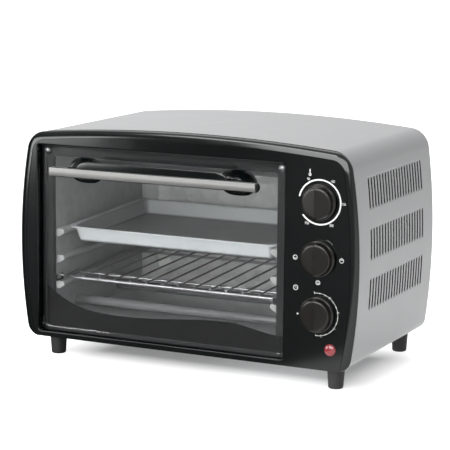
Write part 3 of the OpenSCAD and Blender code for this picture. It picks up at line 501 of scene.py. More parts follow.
# Each finish: its group, its colour or the panel's name for it, the group's values, the shader's.
RECIPES = {
    "silver_paint": ("moulded", "silver", dict(Ripple=900.0, Roughness=0.34, Handling=0.06),
                     dict(bump=0.05, Metallic=0.45, Coat_Weight=0.25, Coat_Roughness=0.2)),
    "gloss_black": ("moulded", "black", dict(Ripple=60.0, Roughness=0.11, Handling=0.05),
                    dict(bump=0.02, Specular_IOR_Level=0.45)),
    "knob_plastic": ("moulded", "knob", dict(Ripple=700.0, Roughness=0.2, Handling=0.04),
                     dict(bump=0.05, Specular_IOR_Level=0.35)),
    "black_rubber": ("moulded", (0.012, 0.012, 0.012),
                     dict(Ripple=900.0, Roughness=0.62, Handling=0.1), dict(bump=0.15)),
    "bakelite": ("moulded", (0.06, 0.035, 0.022), dict(Ripple=500.0, Roughness=0.45), {}),
    "ivory_ceramic": ("moulded", (0.68, 0.63, 0.53), dict(Ripple=600.0, Roughness=0.6),
                      dict(bump=0.1)),
    "pan_enamel": ("moulded", "pan", dict(Ripple=500.0, Roughness=0.3, Handling=0.1),
                   dict(bump=0.05)),
    "black_print": ("moulded", (0.003, 0.0034, 0.0038), dict(Ripple=300.0, Roughness=0.5),
                    dict(Specular_IOR_Level=0.03)),
    "white_ink": ("moulded", "print_ink", dict(Ripple=900.0, Roughness=0.55, Handling=0.1), {}),
    # Near black for the casing's inside, its slot walls and the louvre sheets: painted shade.
    "painted_shade_black": ("moulded", (0.02, 0.02, 0.021), dict(Ripple=400.0, Roughness=0.6),
                    dict(Specular_IOR_Level=0.2)),
    # A dim grey, far darker than milky quartz, for the heater tubes: painted shade.
    "quartz": ("moulded", (0.16, 0.165, 0.17), dict(Ripple=150.0, Roughness=0.4, Handling=0.05),
               dict(Coat_Weight=0.3)),
    "red_lens": ("moulded", "lamp", dict(Ripple=300.0, Roughness=0.14, Handling=0.03),
                 dict(Coat_Weight=0.5, Emission_Color=(0.9, 0.02, 0.03, 1),
                      Emission_Strength=0.03)),
    "liner_steel": ("spangle", "steel", dict(Size=110.0, Amount=0.16, Roughness=0.42),
                    dict(Metallic=0.05)),
    # A darker copy of the liner steel for the chamber's side walls: painted shade.
    "shaded_side_steel": ("spangle", (0.45, 0.46, 0.46), dict(Size=110.0, Amount=0.16, Roughness=0.42),
                   dict(Metallic=0.2)),
    # A brighter copy of the liner steel for the back wall: painted light.
    "lit_back_steel": ("spangle", (0.95, 0.96, 0.96), dict(Size=110.0, Amount=0.16, Roughness=0.42),
                   dict(Metallic=0.05)),
    # A near-black copy of the zinc sheet for the bulkhead: painted shade.
    "painted_shade_steel": ("spangle", (0.045, 0.046, 0.048), dict(Size=120.0, Amount=0.2, Roughness=0.5),
                   dict(Metallic=0.2, Specular_IOR_Level=0.2)),
    "galvanised_steel": ("spangle", (0.5, 0.51, 0.52),
                         dict(Size=120.0, Amount=0.25, Roughness=0.4), dict(Metallic=0.8)),
    "dark_steel": ("grain", (0.012, 0.013, 0.014),
                   dict(Scale=(60, 60, 900), Roughness=0.55, Depth=0.3),
                   dict(Specular_IOR_Level=0.2)),
    "tray_aluminium": ("grain", (0.6, 0.61, 0.62),
                       dict(Scale=(15, 700, 700), Roughness=0.38, Depth=0.25),
                       dict(bump=0.05, Metallic=0.8)),
    "brushed_strip": ("grain", "strip", dict(Scale=(2, 300, 420), Roughness=0.42, Depth=0.95),
                      dict(Metallic=0.8)),
    "bright_steel": ("grain", (0.6, 0.6, 0.6),
                     dict(Scale=(300, 300, 300), Roughness=0.28, Depth=0.2), dict(Metallic=1.0)),
    "chromed_wire": ("grain", (0.42, 0.42, 0.43),
                     dict(Scale=(40, 40, 40), Roughness=0.42, Depth=0.15), dict(Metallic=1.0)),
    "soft_chrome": ("grain", (0.2, 0.2, 0.205),
                    dict(Scale=(40, 40, 40), Roughness=0.5, Depth=0.15), dict(Metallic=1.0)),
    "brass_nut": ("grain", (0.6, 0.45, 0.2),
                  dict(Scale=(200, 200, 200), Roughness=0.3, Depth=0.2), dict(Metallic=1.0)),
}
MATERIALS = {}


def new_material(name):
    """A material with nodes, its tree and the inputs of its shader."""
    made = bpy.data.materials.new(name)
    made.use_nodes = True
    return made, made.node_tree, made.node_tree.nodes["Principled BSDF"].inputs


def finish(name):
    """A material by its recipe: a shared group that feeds its colour, roughness and bump."""
    group, own_colour, given, shader = RECIPES[name]
    if isinstance(own_colour, str):
        own_colour = getattr(colours(), own_colour)
    made, tree, inputs = new_material(name)
    surface = node(tree, "ShaderNodeGroup", {**given, "Colour": (*own_colour, 1)},
                   node_tree=group_tree(group)).outputs
    tree.links.new(surface["Colour"], inputs["Base Color"])
    tree.links.new(surface["Roughness"], inputs["Roughness"])
    for key, value in shader.items():
        if key == "bump":
            relief = node(tree, "ShaderNodeBump", {"Height": surface["Height"], "Strength": value,
                                                   "Distance": BUMP_DISTANCE})
            tree.links.new(relief.outputs["Normal"], inputs["Normal"])
        else:
            inputs[key.replace("_", " ")].default_value = value
    if name in TONES:
        TONES[name](tree, inputs["Base Color"])
    return made


def tone(tree, base, factor):
    """Scales the base colour that a finished material already has."""
    tree.links.new(vector(tree, "SCALE", base.links[0].from_socket, scale=factor), base)


def back_painted_highlight(tree, base):
    """Painted highlight: the pressed bevel on the left is brighter than the flats."""
    tone(tree, base, spread(tree, facing(tree, (1, 0, 0)), *HIGHLIGHT_TURNED, FLAT_SHADE, 1.0))


def pan_painted_shade(tree, base):
    """Painted shade: the pan's floor darkens by the distance below its lip, and its side walls too.
    """
    height = vector(tree, "DOT_PRODUCT", coordinates(tree), tuple(TRAY_UP))
    lip = float(TRAY_UP @ tray_place("baking_pan", PAN_LIP))
    deep, shallow = (lip - below for below in PAN_FLOOR_BELOW)
    tone(tree, base, spread(tree, height, deep, shallow, PAN_FLOOR_SHADE, 1.0))
    sideways = calc(tree, "ABSOLUTE", facing(tree, (1, 0, 0)))
    tone(tree, base, spread(tree, sideways, *TURNED, 1.0, PAN_SIDE_SHADE))


# Painted highlight on the back's bevel and painted shade in the pan, laid over these finishes'
# colours.
TONES = {"lit_back_steel": back_painted_highlight, "pan_enamel": pan_painted_shade}


def door_glass():
    """Clear glass with a breath of grease on its faces; its near-black edges are painted shade."""
    made, tree, glass = new_material("door_glass")
    glass["Transmission Weight"].default_value = 1.0
    glass["IOR"].default_value = 1.5
    smear = noise(tree, coordinates(tree), 11.0, 4.0)["Fac"]
    tree.links.new(spread(tree, smear, 0.5, 0.8, 0.0, 0.03), glass["Roughness"])
    flat = calc(tree, "ABSOLUTE", facing(tree, (0, 1, 0)))
    # Painted shade: faces turned away from the door's depth get a near-black colour.
    clear = spread(tree, flat, *TURNED, GLASS_EDGE_SHADE, 1.0)
    tree.links.new(vector(tree, "SCALE", GLASS_TINT, scale=clear), glass["Base Color"])
    return made


def material(name):
    """One of the oven's finishes, made the first time it is asked for."""
    if name not in MATERIALS:
        MATERIALS[name] = door_glass() if name == "door_glass" else finish(name)
    return MATERIALS[name]


# ---------- Casing ----------

SLOT_ROWS, SLOT_MARGIN, SLOTS_BACK = 3, 2 * MM, 116.5 * MM
ROW_CLEAR, SIDE_BAND, EDGE_KEEP, FOOT_LIP = 3 * MM, 30 * MM, 0.4 * MM, 6 * MM
LOUVRE_X, LOUVRE_FOOT, LOUVRE_TOP = 110 * MM, 100 * MM, 180 * MM
# Dark sheets of painted shade behind the rear louvres: half width, depth, margin, fold, gap and
# thickness.
SHADE_SHEET_HALF, SHADE_SHEET_DEEP, SHADE_SHEET_MARGIN, SHADE_SHEET_FOLD = 26 * MM, 3.4 * MM, 5 * MM, 1.2 * MM
SHADE_SHEET_GAP, SHADE_SHEET_THICK = 0.05 * MM, 0.5 * MM


def slot_cells():
    """Cells round one vent slot, as (y, z) about its middle: a half disc's rim and a rectangle.

    The round end runs over angles from 0 to 180 degrees, and each of its points is joined to one
    point of the rectangle above it. The lower end is the same turned over.
    """
    s = sizes()
    r, h, p = s.slot_width / 2, s.slot_height / 2, s.slot_pitch / 2
    edge, start = h + SLOT_MARGIN, h - r
    turn = np.radians([0, 35, 65, 90, 115, 145, 180])
    rim = np.stack([r * np.cos(turn), start + r * np.sin(turn)], -1)
    box = [[p, start], [p, edge], [r, edge], [0, edge], [-r, edge], [-p, edge], [-p, start]]
    upper = np.stack([rim, box])
    return upper, upper * [1, -1]


def side_x(z):
    """How far out the casing's side lies at a height: an arc about the height of its belly."""
    s = sizes()
    rise = np.asarray(z) - s.belly_height
    return high("casing_cover").x - s.side_radius + np.sqrt(s.side_radius**2 - rise**2)


def distinct(parts):
    """The values of all parts, sorted, without repeats."""
    values = np.sort(np.concatenate(parts))
    return values[np.append(True, np.diff(values) > SAME_WITHIN)]


def casing():
    """The wrap: the front view's open outline carried back, with the slots left out of its side.

    A narrow row of cells at each end keeps the shading level there.
    """
    s = sizes()
    box_low, box_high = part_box("casing_cover")
    part = outline_parts(0, 0, 0)
    a_low, a_side, a_crown = part["angles"]
    r, h, half_pitch = s.slot_width / 2, s.slot_height / 2, s.slot_pitch / 2
    rows = s.slot_foot + s.slot_row_pitch * np.arange(SLOT_ROWS)
    levels = [z + np.array([-h - SLOT_MARGIN, r - h, 0, h - r, h + SLOT_MARGIN]) for z in rows]
    side_low, side_top = (s.belly_height + s.side_radius * math.sin(a) for a in (a_low, a_side))
    extra = np.linspace(side_low, side_top, 24)
    clear = np.min(np.abs(extra[:, None] - rows), axis=1) > h + ROW_CLEAR
    heights = distinct([*levels, extra[clear], [side_low, side_top]])
    side = np.stack([side_x(heights), heights], -1)
    right = np.concatenate([
        [[low("foot_front_right").x - FOOT_LIP, box_low.z]],
        arc_points(*part["low"], -math.pi / 2, a_low, 8),
        side[1:-1],
        arc_points(*part["corner"], a_side, a_crown, 14),
        arc_points(*part["crown"], a_crown, math.pi / 2, 20)[1:]])
    loop = np.concatenate([right, right[-2::-1] * [-1, 1]])

    places = np.arange(s.slot_count) - (s.slot_count - 1) / 2
    slots = frame_y(SLOTS_BACK) + places * s.slot_pitch
    lines = [slots + k for k in (-half_pitch, -r, 0, r)]
    ends = [box_low.y, box_low.y + EDGE_KEEP, box_high.y - EDGE_KEEP, box_high.y]
    depth = distinct([ends, *lines, [slots[-1] + half_pitch]])
    x, y = np.meshgrid(loop[:, 0], depth, indexing="ij")
    points = np.stack([x, y, np.broadcast_to(loop[:, 1:], x.shape)], -1)
    centre = (points[:-1, :-1] + points[1:, 1:]) / 2
    on_side = centre[..., 0] > box_high.x - SIDE_BAND
    near = (depth[:-1] + depth[1:]) / 2
    in_row = (near > slots[0] - half_pitch) & (near < slots[-1] + half_pitch)
    in_slot = np.min(np.abs(near[:, None] - slots), axis=1) < r
    keep = np.ones(centre.shape[:2], bool)
    for z in rows:
        up = np.abs(centre[..., 2] - z)
        keep &= ~(on_side & (up > h - r) & (up < h + SLOT_MARGIN) & in_row)
        keep &= ~(on_side & (up < h - r) & in_slot)
    skin = Skin()
    skin.grid(points, mask=keep)
    spots = np.stack(np.meshgrid(slots, rows, indexing="ij"), -1).reshape(-1, 1, 1, 2)
    for cells in slot_cells():
        yz = spots + cells
        for block in np.stack([side_x(yz[..., 1]), yz[..., 0], yz[..., 1]], -1):
            skin.grid(block)
    made = skin.piece("casing", "chassis", "silver_paint", replaces="casing_cover", outward=False,
                      thick=s.sheet)
    # The inside faces and the slot walls take the near-black finish: painted shade.
    made.data.materials.append(material("painted_shade_black"))
    wall = made.modifiers["Wall"]
    wall.material_offset = wall.material_offset_rim = 1
    heart = middle("casing_cover")
    turn_faces(made, lambda face: face.normal.dot(face.calc_center_median() - heart)
               * face.calc_area())


def shade_sheets():
    """Painted-shade sheets inside the rear louvres: a folded profile (y, z) carried sideways."""
    seat = low("rear_panel").y - SHADE_SHEET_GAP
    front, foot, top = seat - SHADE_SHEET_DEEP, LOUVRE_FOOT - SHADE_SHEET_MARGIN, LOUVRE_TOP + SHADE_SHEET_MARGIN
    profile = softened([(seat, foot), (front, foot), (front, top), (seat, top)], [SHADE_SHEET_FOLD] * 2)
    skin = Skin()
    for side in (-1, 1):
        skin.grid(np.array([np.insert(profile, 0, side * LOUVRE_X + edge, axis=1)
                            for edge in (-SHADE_SHEET_HALF, SHADE_SHEET_HALF)]))
    skin.piece("louvre_shade_sheets", "chassis", "painted_shade_black", outward=False,
               thick=SHADE_SHEET_THICK)


# ---------- Bezel ----------

DOOR_GAP, RIM_RAISED, CURVED_BAND = 3 * MM, 0.5 * MM, 40 * MM
OPENING_FILLET, OPENING_FLAT = 0.9 * MM, 0.4 * MM
# How much of the way from the face to the widest line is left at each ring.
RIM_STEPS = (0.985, 0.96, 0.92, 0.86, 0.75, 0.6, 0.45, 0.3, 0.15, 0.05, 0.0)
# The groove's way in and its depth, in shares of its size.
GROOVE_STEPS = ((0.3, 0.0), (0.5, 0.8), (1.3, 0.8), (1.5, 0.0), (2.2, 0.0))


def bezel():
    """The gloss moulding: rings about the middle of the door, from the seam to the opening.

    In each direction a ring lies where that ray meets a loop. A quarter ellipse swells from the
    seam to the widest line. From there to the flat face the depth is a mean of a quarter ellipse
    and a power of the distance. A fine groove surrounds the face, and the opening has a small
    fillet.
    """
    s = sizes()
    face = low("front_bezel").y
    glass_low, glass_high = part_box("door_glass")
    x0, x1 = glass_low.x - DOOR_GAP, glass_high.x + DOOR_GAP
    z0, z1 = glass_low.z - DOOR_GAP, glass_high.z + DOOR_GAP
    centre = np.array([(x0 + x1) / 2, (z0 + z1) / 2])
    close = rounded_loop(x0, z0, x1, z1, s.opening_corner, 12) - centre
    rim = outline(s.face_inset, RIM_RAISED, 1.0)
    curved = rim[np.abs(rim[:, 0]) > high("front_bezel").x - CURVED_BAND][::4] - centre
    turns = [np.linspace(-math.pi, math.pi, 361)[:-1], np.arctan2(close[:, 1], close[:, 0]),
             np.arctan2(curved[:, 1], curved[:, 0])]
    turn = np.unique(np.round(np.concatenate(turns), 5))
    rings = []
    for a in np.radians(np.linspace(90, 0, 9)):
        rings.append((outline(s.seam_inset * (1 - math.cos(a)), RIM_RAISED, math.cos(a)),
                      face + s.rim_depth + (s.bezel_depth - s.rim_depth) * math.sin(a)))
    for t in RIM_STEPS:
        back = 0.55 * (1 - math.sqrt(1 - t * t)) + 0.45 * t**1.3
        rings.append((outline(s.face_inset * (1 - t), RIM_RAISED, 1.0), face + s.rim_depth * back))
    for step, deep in GROOVE_STEPS:
        rings.append((outline(s.face_inset + step * s.groove, RIM_RAISED, 1.0),
                      face + deep * s.groove))
    edge = OPENING_FILLET
    loops = [(edge * (1 - math.sin(a)), edge * (1 - math.cos(a)))
             for a in np.radians(np.linspace(0, 90, 6))]
    for out, back in [(edge + OPENING_FLAT, 0), *loops, (0, s.bezel_depth)]:
        rings.append((rounded_loop(x0 - out, z0 - out, x1 + out, z1 + out, s.opening_corner + out,
                                   24), face + back))
    rings.append(rings[0])
    turn = np.append(turn, turn[0])
    ray = np.stack([np.cos(turn), np.sin(turn)], -1)
    skin = Skin()
    skin.grid(np.array([np.insert(centre + reach(loop, centre, turn)[:, None] * ray, 1, y, axis=1)
                        for loop, y in rings]))
    skin.piece("bezel", "chassis", "gloss_black", replaces="front_bezel")


LENS_WALL, LENS_POWER = 1.3 * MM, 0.9


def lens():
    """The lamp's red lens: a low dome over a short stem, turned about its line."""
    box_low, box_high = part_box("lamp_lens")
    face = low("front_bezel").y
    r, rise, stem = (box_high.x - box_low.x) / 2, face - box_low.y, box_high.y - face
    t = np.linspace(0, math.pi / 2, 12)
    dome = np.stack([r * np.sin(t), -rise * np.cos(t) ** LENS_POWER], -1)
    inner = r - LENS_WALL
    profile = np.concatenate([dome, [[r, 0.0], [inner, 0.0], [inner, stem], [0, stem]]])
    skin = Skin()
    skin.grid(revolved(profile, (middle("lamp_lens").x, face, middle("lamp_lens").z), 48))
    skin.piece("lamp_dome", "chassis", "red_lens", replaces="lamp_lens", sharp=50)


# ---------- Door ----------

BAND_TRIM, BAND_CORNER, BAND_FRONT, BAND_BACK = 1 * MM, 4 * MM, 0.02 * MM, 0.18 * MM
STRIP_TRIM, STRIP_CORNER = (0.3 * MM, 1.3 * MM), 0.8 * MM
# The strip's front edge: how far in, and how far behind the front.
STRIP_EDGE = [(0, 0.4 * MM), (0.15 * MM, 0.1 * MM), (0.45 * MM, 0)]
BAR_DEEP, BAR_FLAT, BAR_OVER, BAR_CORNER = 8 * MM, 1.2 * MM, 0.7 * MM, 0.7 * MM
# Tips of the bar and the ridge: distance in from the end, and scale of the section there.
BAR_TIPS = [(0, 0), (0, 0.8), (0.5 * MM, 0.95), (1.5 * MM, 1)]
DOME_R = 4 * MM
RIDGE_HALF, RIDGE_DEEP, RIDGE_RISE, RIDGE_FOOT, RIDGE_BACK = (
    84 * MM, 2.4 * MM, 7.2 * MM, 3.0 * MM, 0.6 * MM)
RIDGE_TIPS = [(share * RIDGE_HALF, scale) for share, scale in (
    (0, 0), (0, 0.45), (0.015, 0.66), (0.045, 0.84), (0.09, 0.96), (0.14, 1))]
POST_X, POST_RIM, POST_RIM_END = 85.5 * MM, 1.6 * MM, 0.07
POST_FOOT, POST_NARROWING = np.array([41, 26]) * MM, np.array([5.8, 11.6]) * MM
POST_CURVE, POST_SQUARE, RIDGE_SQUARE, POST_SUNK = 1.6, 0.35, 0.4, 2 * MM
POST_STEPS = [0, 0, POST_RIM_END, 0.08, *np.linspace(0.13, 1, 10), 1]


def band_edge(t):
    """Height of the band's edge: a sweep that dies away from the left, and a swell on the right."""
    width = np.where(t < 0.77, 0.316, 0.139)
    sweep, swell = np.exp(-((t / 0.112) ** 1.15)), np.exp(-(((t - 0.77) / width) ** 2))
    return (17 + 27 * sweep + 8.8 * swell) * MM


def band():
    """The print behind the foot of the glass: a thin closed strip up to its wavy edge, with its
    lower corners quarter circles."""
    glass_low, glass_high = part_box("door_glass")
    x0, x1 = glass_low.x + BAND_TRIM, glass_high.x - BAND_TRIM
    t = np.linspace(0, 1, 161)
    x, top = x0 + t * (x1 - x0), glass_low.z + band_edge(t)
    past = BAND_CORNER - np.minimum(np.minimum(t, 1 - t) * (x1 - x0), BAND_CORNER)
    foot = glass_low.z + BAND_TRIM + BAND_CORNER - np.sqrt(BAND_CORNER**2 - past**2)
    front, back = glass_high.y + BAND_FRONT, glass_high.y + BAND_BACK
    loop = [(top, front), (foot, front), (foot, back), (top, back), (top, front)]
    skin = Skin()
    skin.bar(np.array([np.stack([x, np.full_like(x, y), z], -1) for z, y in loop]))
    skin.piece("band", "door", "black_print", replaces="glass_band")


def carried(profile, core, half, tips, centre):
    """A profile (y, z) carried sideways by half to each side of a centre, and scaled about its core
    at each tip."""
    ends = [(half - inward, scale) for inward, scale in tips]
    ends = [(-x, scale) for x, scale in ends] + ends[::-1]
    rings = [(core + scale * (profile - core) + [0, centre.z], x) for x, scale in ends]
    return np.array([np.insert(ring, 0, centre.x + x, axis=1) for ring, x in rings])


def post(x, z, foot_y, end_y):
    """Rings of one post: an oval that shrinks from the glass to the bar along a concave curve."""
    turn = np.linspace(0, TAU, 65)
    c, s = np.cos(turn), np.sin(turn)
    rings = []
    for t in POST_STEPS:
        rim = POST_RIM * min(t / POST_RIM_END, 1)
        w, h = (POST_FOOT - 2 * rim - POST_NARROWING * (1 - (1 - t) ** POST_CURVE)) / 2
        rings.append(np.stack([x + (w - h) * squared(c, POST_SQUARE) + h * c,
                               np.full_like(turn, foot_y + t * (end_y - foot_y)), z + h * s], -1))
    rings[0][:] = x, foot_y, z
    rings[-1][:] = x, end_y, z
    return np.array(rings)


def handle():
    """The bar and its two posts, the ridge along the bar's top, and the brushed strip on its front.

    The bar is flat in front and half an ellipse behind. The ridge is a rounded oblong.
    """
    strip_low, strip_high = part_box("handle_strip")
    strip_low.z, strip_high.z = strip_low.z + STRIP_TRIM[0], strip_high.z - STRIP_TRIM[1]
    centre = (strip_low + strip_high) / 2
    half_h = (strip_high.z - strip_low.z) / 2 + BAR_OVER
    front, end_y = strip_high.y, strip_high.y + BAR_DEEP - POST_SUNK
    flat = front + BAR_FLAT
    turn = np.linspace(-math.pi / 2, math.pi / 2, 17)
    edge = softened([(front, 0), (front, -half_h), (flat, -half_h)], [BAR_CORNER])[:-1]
    belly = np.stack([flat + (BAR_DEEP - BAR_FLAT) * np.cos(turn), half_h * np.sin(turn)], -1)
    skin = Skin()
    bar = np.concatenate([edge, belly, edge[::-1] * [1, -1]])
    half = centre.x - low("handle").x
    skin.grid(carried(bar, np.array([front + BAR_DEEP / 2, 0]), half, BAR_TIPS, centre))
    for side in (-1, 1):
        skin.grid(post(centre.x + side * POST_X, centre.z, low("door_glass").y, end_y))
    turn = np.linspace(0, TAU, 33)
    ridge_y = front + RIDGE_BACK + RIDGE_DEEP / 2
    ridge = np.stack([ridge_y + RIDGE_DEEP / 2 * squared(np.cos(turn), RIDGE_SQUARE),
                      half_h + (RIDGE_RISE - RIDGE_FOOT) / 2
                      + (RIDGE_RISE + RIDGE_FOOT) / 2 * squared(np.sin(turn), RIDGE_SQUARE)], -1)
    core = np.array([ridge_y, half_h - RIDGE_FOOT])
    skin.grid(carried(ridge, core, RIDGE_HALF, RIDGE_TIPS, centre))
    skin.piece("handle_bar", "door", "gloss_black", replaces="handle")

    loop = rounded_loop(strip_low.x, strip_low.z, strip_high.x, strip_high.z, STRIP_CORNER, 6)
    loop = np.concatenate([loop, loop[:1]])
    away = np.sign(loop - [centre.x, centre.z])
    rings = [np.insert(loop - inward * away, 1, strip_low.y + back, axis=1)
             for inward, back in [(0, strip_high.y - strip_low.y), *STRIP_EDGE]]
    first, last = (ring * [1, 1, 0] + [0, 0, centre.z] for ring in (rings[0], rings[-1]))
    skin = Skin()
    skin.grid(np.array([first, *rings, last]))
    skin.piece("strip", "door", "brushed_strip", replaces="handle_strip")


def domes():
    """The dome screws in the upper corners of the door: part of a ball over a flat seat."""
    box_low, box_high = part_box("corner_screws")
    y = low("door_glass").y
    rise, r = y - box_low.y, DOME_R
    ball = (r * r + rise * rise) / (2 * rise)
    angle = np.linspace(0, math.asin(r / ball), 14)
    profile = np.stack([ball * np.sin(angle), ball - rise - ball * np.cos(angle)], -1)
    profile = np.concatenate([profile, [[r, 0], [0, 0]]])
    skin = Skin()
    for x in (box_low.x + r, box_high.x - r):
        skin.grid(revolved(profile, (x, y, middle("corner_screws").z), 40))
    skin.piece("dome_heads", "door", "soft_chrome", sharp=50)


# ---------- Chamber ----------

GUIDE_SLOPE = math.radians(2.3)
TRAY_BACK = np.array([0, math.cos(GUIDE_SLOPE), math.sin(GUIDE_SLOPE)])
TRAY_UP = np.array([0, -math.sin(GUIDE_SLOPE), math.cos(GUIDE_SLOPE)])
TRAY_HALF, TRAY_DEEP, TRAY_FRONT = 122.5 * MM, 165 * MM, 29 * MM
RACK_FOOT, PAN_LIP = 79.44 * MM, 134.74 * MM
ROD, CROSS_ROD, WIRE, WIRES = 1.7 * MM, 1.5 * MM, 1.0 * MM, 12
ROD_Z, CROSS_Z, WIRE_Z = 2.0 * MM, 2.1 * MM, 4.4 * MM
RACK_CORNER, CROSS_IN, WIRE_IN, HOOK_TIP = 9 * MM, 25 * MM, 0.6 * MM, 125.3 * MM
HOOK_BACK = np.array([27.1, -4.6, -5.7, -6.3, -6.3]) * MM
HOOK_UP = np.array([4.4, 4.4, 4.7, 5.2, 5.2]) * MM
# Rings of the pan in millimetres: how far in at the sides, how far in at the ends, and height.
# The wall between the lip and the foot is straight.
PAN_LIP_RINGS = [(0, 0, -0.6), (0, 0, 0.3), (0.3, 0.3, 0.75), (6.2, 2.2, 0.8), (7, 2.8, 0.72),
                 (7.5, 3.2, 0.3)]
PAN_WALL_RINGS = [(7.5 + 4 * t, 3.2 + 4 * t, 0.3 - 13.2 * t) for t in (0.1, 0.5, 0.9, 1)]
PAN_FOOT_RINGS = [(12.2, 7.9, -14.4), (13.8, 9.5, -14.9), (16, 11.7, -15)]
PAN_SHEET, PAN_CORNER, PAN_LEAST_CORNER, PAN_DEEP = 0.7 * MM, 12 * MM, 4 * MM, 15 * MM
TUBE_SHOULDER = 0.8 * MM


def tray_place(name, height):
    """Middle of the front edge of the rack or the pan on its guide."""
    return np.array([middle(name).x, frame_y(TRAY_FRONT), height])


def on_tray(origin, x, y, z):
    """Points to the right of, behind and above a tray's origin, along the sloping guides."""
    x, y, z = (np.asarray(v, float)[..., None] for v in np.broadcast_arrays(x, y, z))
    return origin + x * [1, 0, 0] + y * TRAY_BACK + z * TRAY_UP


def rack():
    """The wire rack: a rounded frame, two cross rods, the wires over them and a hook each side."""
    origin = tray_place("wire_rack", RACK_FOOT)
    skin = Skin()

    def lay(radius, x, y, z, sides=12, closed=False):
        skin.grid(tube(on_tray(origin, x, y, z), radius, sides, closed))

    edge = TRAY_HALF - ROD
    loop = rounded_loop(-edge, ROD, edge, TRAY_DEEP - ROD, RACK_CORNER, 8)
    lay(ROD, loop[:, 0], loop[:, 1], ROD_Z, 16, closed=True)
    for y in (CROSS_IN, TRAY_DEEP - CROSS_IN):
        lay(CROSS_ROD, [-edge, edge], y, CROSS_Z, 16)
    for x in np.linspace(ROD - edge, edge - ROD, WIRES + 2)[1:-1]:
        lay(WIRE, x, [WIRE_IN, TRAY_DEEP - WIRE_IN], WIRE_Z)
    for side in (-1, 1):
        x = side * np.array([edge, edge, edge, edge + MM, HOOK_TIP])
        lay(WIRE, x, HOOK_BACK, HOOK_UP)
    skin.piece("rack_wires", "rack", "chromed_wire", replaces="wire_rack", sharp=50)


def pan():
    """The baking pan: a section of lip, wall and rounded foot carried round a rounded rectangle."""
    origin = tray_place("baking_pan", PAN_LIP)
    rings = []
    for side_in, end_in, z in np.array(PAN_LIP_RINGS + PAN_WALL_RINGS + PAN_FOOT_RINGS) * MM:
        loop = rounded_loop(side_in - TRAY_HALF, end_in, TRAY_HALF - side_in, TRAY_DEEP - end_in,
                            max(PAN_CORNER - end_in, PAN_LEAST_CORNER), 8)
        loop = np.concatenate([loop, loop[:1]])
        rings.append(on_tray(origin, loop[:, 0], loop[:, 1], z))
    core = on_tray(origin, 0, TRAY_DEEP / 2, -PAN_DEEP)
    rings.append(core + (rings[-1] - core) * [0.7, 0, 0])
    skin = Skin()
    skin.grid(np.array(rings))
    made = skin.piece("pan_shell", "pan", "pan_enamel", replaces="baking_pan", outward=False,
                      sharp=60, thick=PAN_SHEET)
    turn_faces(made, lambda face: face.normal.z * face.calc_area())


def heaters():
    """Four quartz tubes, grey as painted shade, rounded at the shoulders, each a profile turned about
    its line.
    """
    for name in ("upper_heaters", "lower_heaters"):
        box_low, box_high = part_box(name)
        r, half = (box_high.z - box_low.z) / 2, (box_high.x - box_low.x) / 2
        profile = softened([(0, -half), (r, -half), (r, half), (0, half)], [TUBE_SHOULDER] * 2)
        skin = Skin()
        for y in (box_low.y + r, box_high.y - r):
            skin.grid(revolved(profile, (middle(name).x, y, middle(name).z), 40, axis="x"))
        skin.piece(name.replace("heaters", "tubes"), "chassis", "quartz", replaces=name)


# ---------- Controls and feet ----------

# The knob's skirt in millimetres: how far in from its rim, and height over the panel.
KNOB_SKIRT = [(0.4, 0), (0, 0.4), (0, 2.6), (0.25, 3.0), (0.5, 3.2), (1.1, 3.3), (1.4, 3.6)]
KNOB_NARROWING, KNOB_RIDGE, KNOB_EASE, KNOB_LOWER = 2.9 * MM, 1.0 * MM, 0.9 * MM, 0.1 * MM
# The face's rounded rim: how deep, from which share of the radius, and over how much of it.
KNOB_ROUND, KNOB_ROUND_FROM, KNOB_ROUND_OVER = 0.3 * MM, 0.93, 0.055
KNOB_WALL = (0.3, 0.6, 0.85, 0.94)
KNOB_FACE = (0.985, 0.96, 0.93, 0.85, 0.7, 0.5, 0.35, 0.2, 0.1, 0.0)
FOOT_R, FOOT_CORNER, FOOT_TOP_CORNER = 7.5 * MM, 2 * MM, 0.3 * MM


def knob(name, body):
    """A knob: rings of a disc whose depth is that of a tapered cup, less the two sloping faces.

    The front's depth at x from the ridge is the full depth less tan(slope) times the distance past
    a narrow ridge, eased at the ridge by a square root.
    """
    box_low, box_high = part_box(name)
    skirt_r, depth = (box_high.x - box_low.x) / 2, box_high.y - box_low.y
    top_r = skirt_r - KNOB_NARROWING
    turn = np.linspace(0, TAU, 97)
    fall = math.tan(sizes().knob_slope)

    def front(x):
        past = np.maximum(np.sqrt(x**2 + KNOB_EASE**2) - KNOB_RIDGE, 0)
        return depth - fall * past - KNOB_LOWER

    def ring(r, d):
        return np.stack([r * np.cos(turn), 0 * turn - d, r * np.sin(turn)], -1)

    rings = [ring(0, 0)] + [ring(skirt_r - inward * MM, d * MM) for inward, d in KNOB_SKIRT]
    wall_r, wall_d = skirt_r - KNOB_SKIRT[-1][0] * MM, KNOB_SKIRT[-1][1] * MM
    rim = front(top_r * np.cos(turn))
    for t in KNOB_WALL:
        rings.append(ring(wall_r + (top_r - wall_r) * t, wall_d + (rim - wall_d) * t))
    for t in KNOB_FACE:
        rounded = KNOB_ROUND * max(0, (t - KNOB_ROUND_FROM) / KNOB_ROUND_OVER) ** 2
        rings.append(ring(t * top_r, front(t * top_r * np.cos(turn)) - rounded))
    skin = Skin()
    skin.grid(np.array(rings) + [middle(name).x, box_high.y, middle(name).z])
    skin.piece(name.replace("_knob", "_grip"), body, "knob_plastic", replaces=name, sharp=50)


def knobs():
    for name in ("thermostat", "selector", "timer"):
        knob(f"{name}_knob", f"{name}_dial")


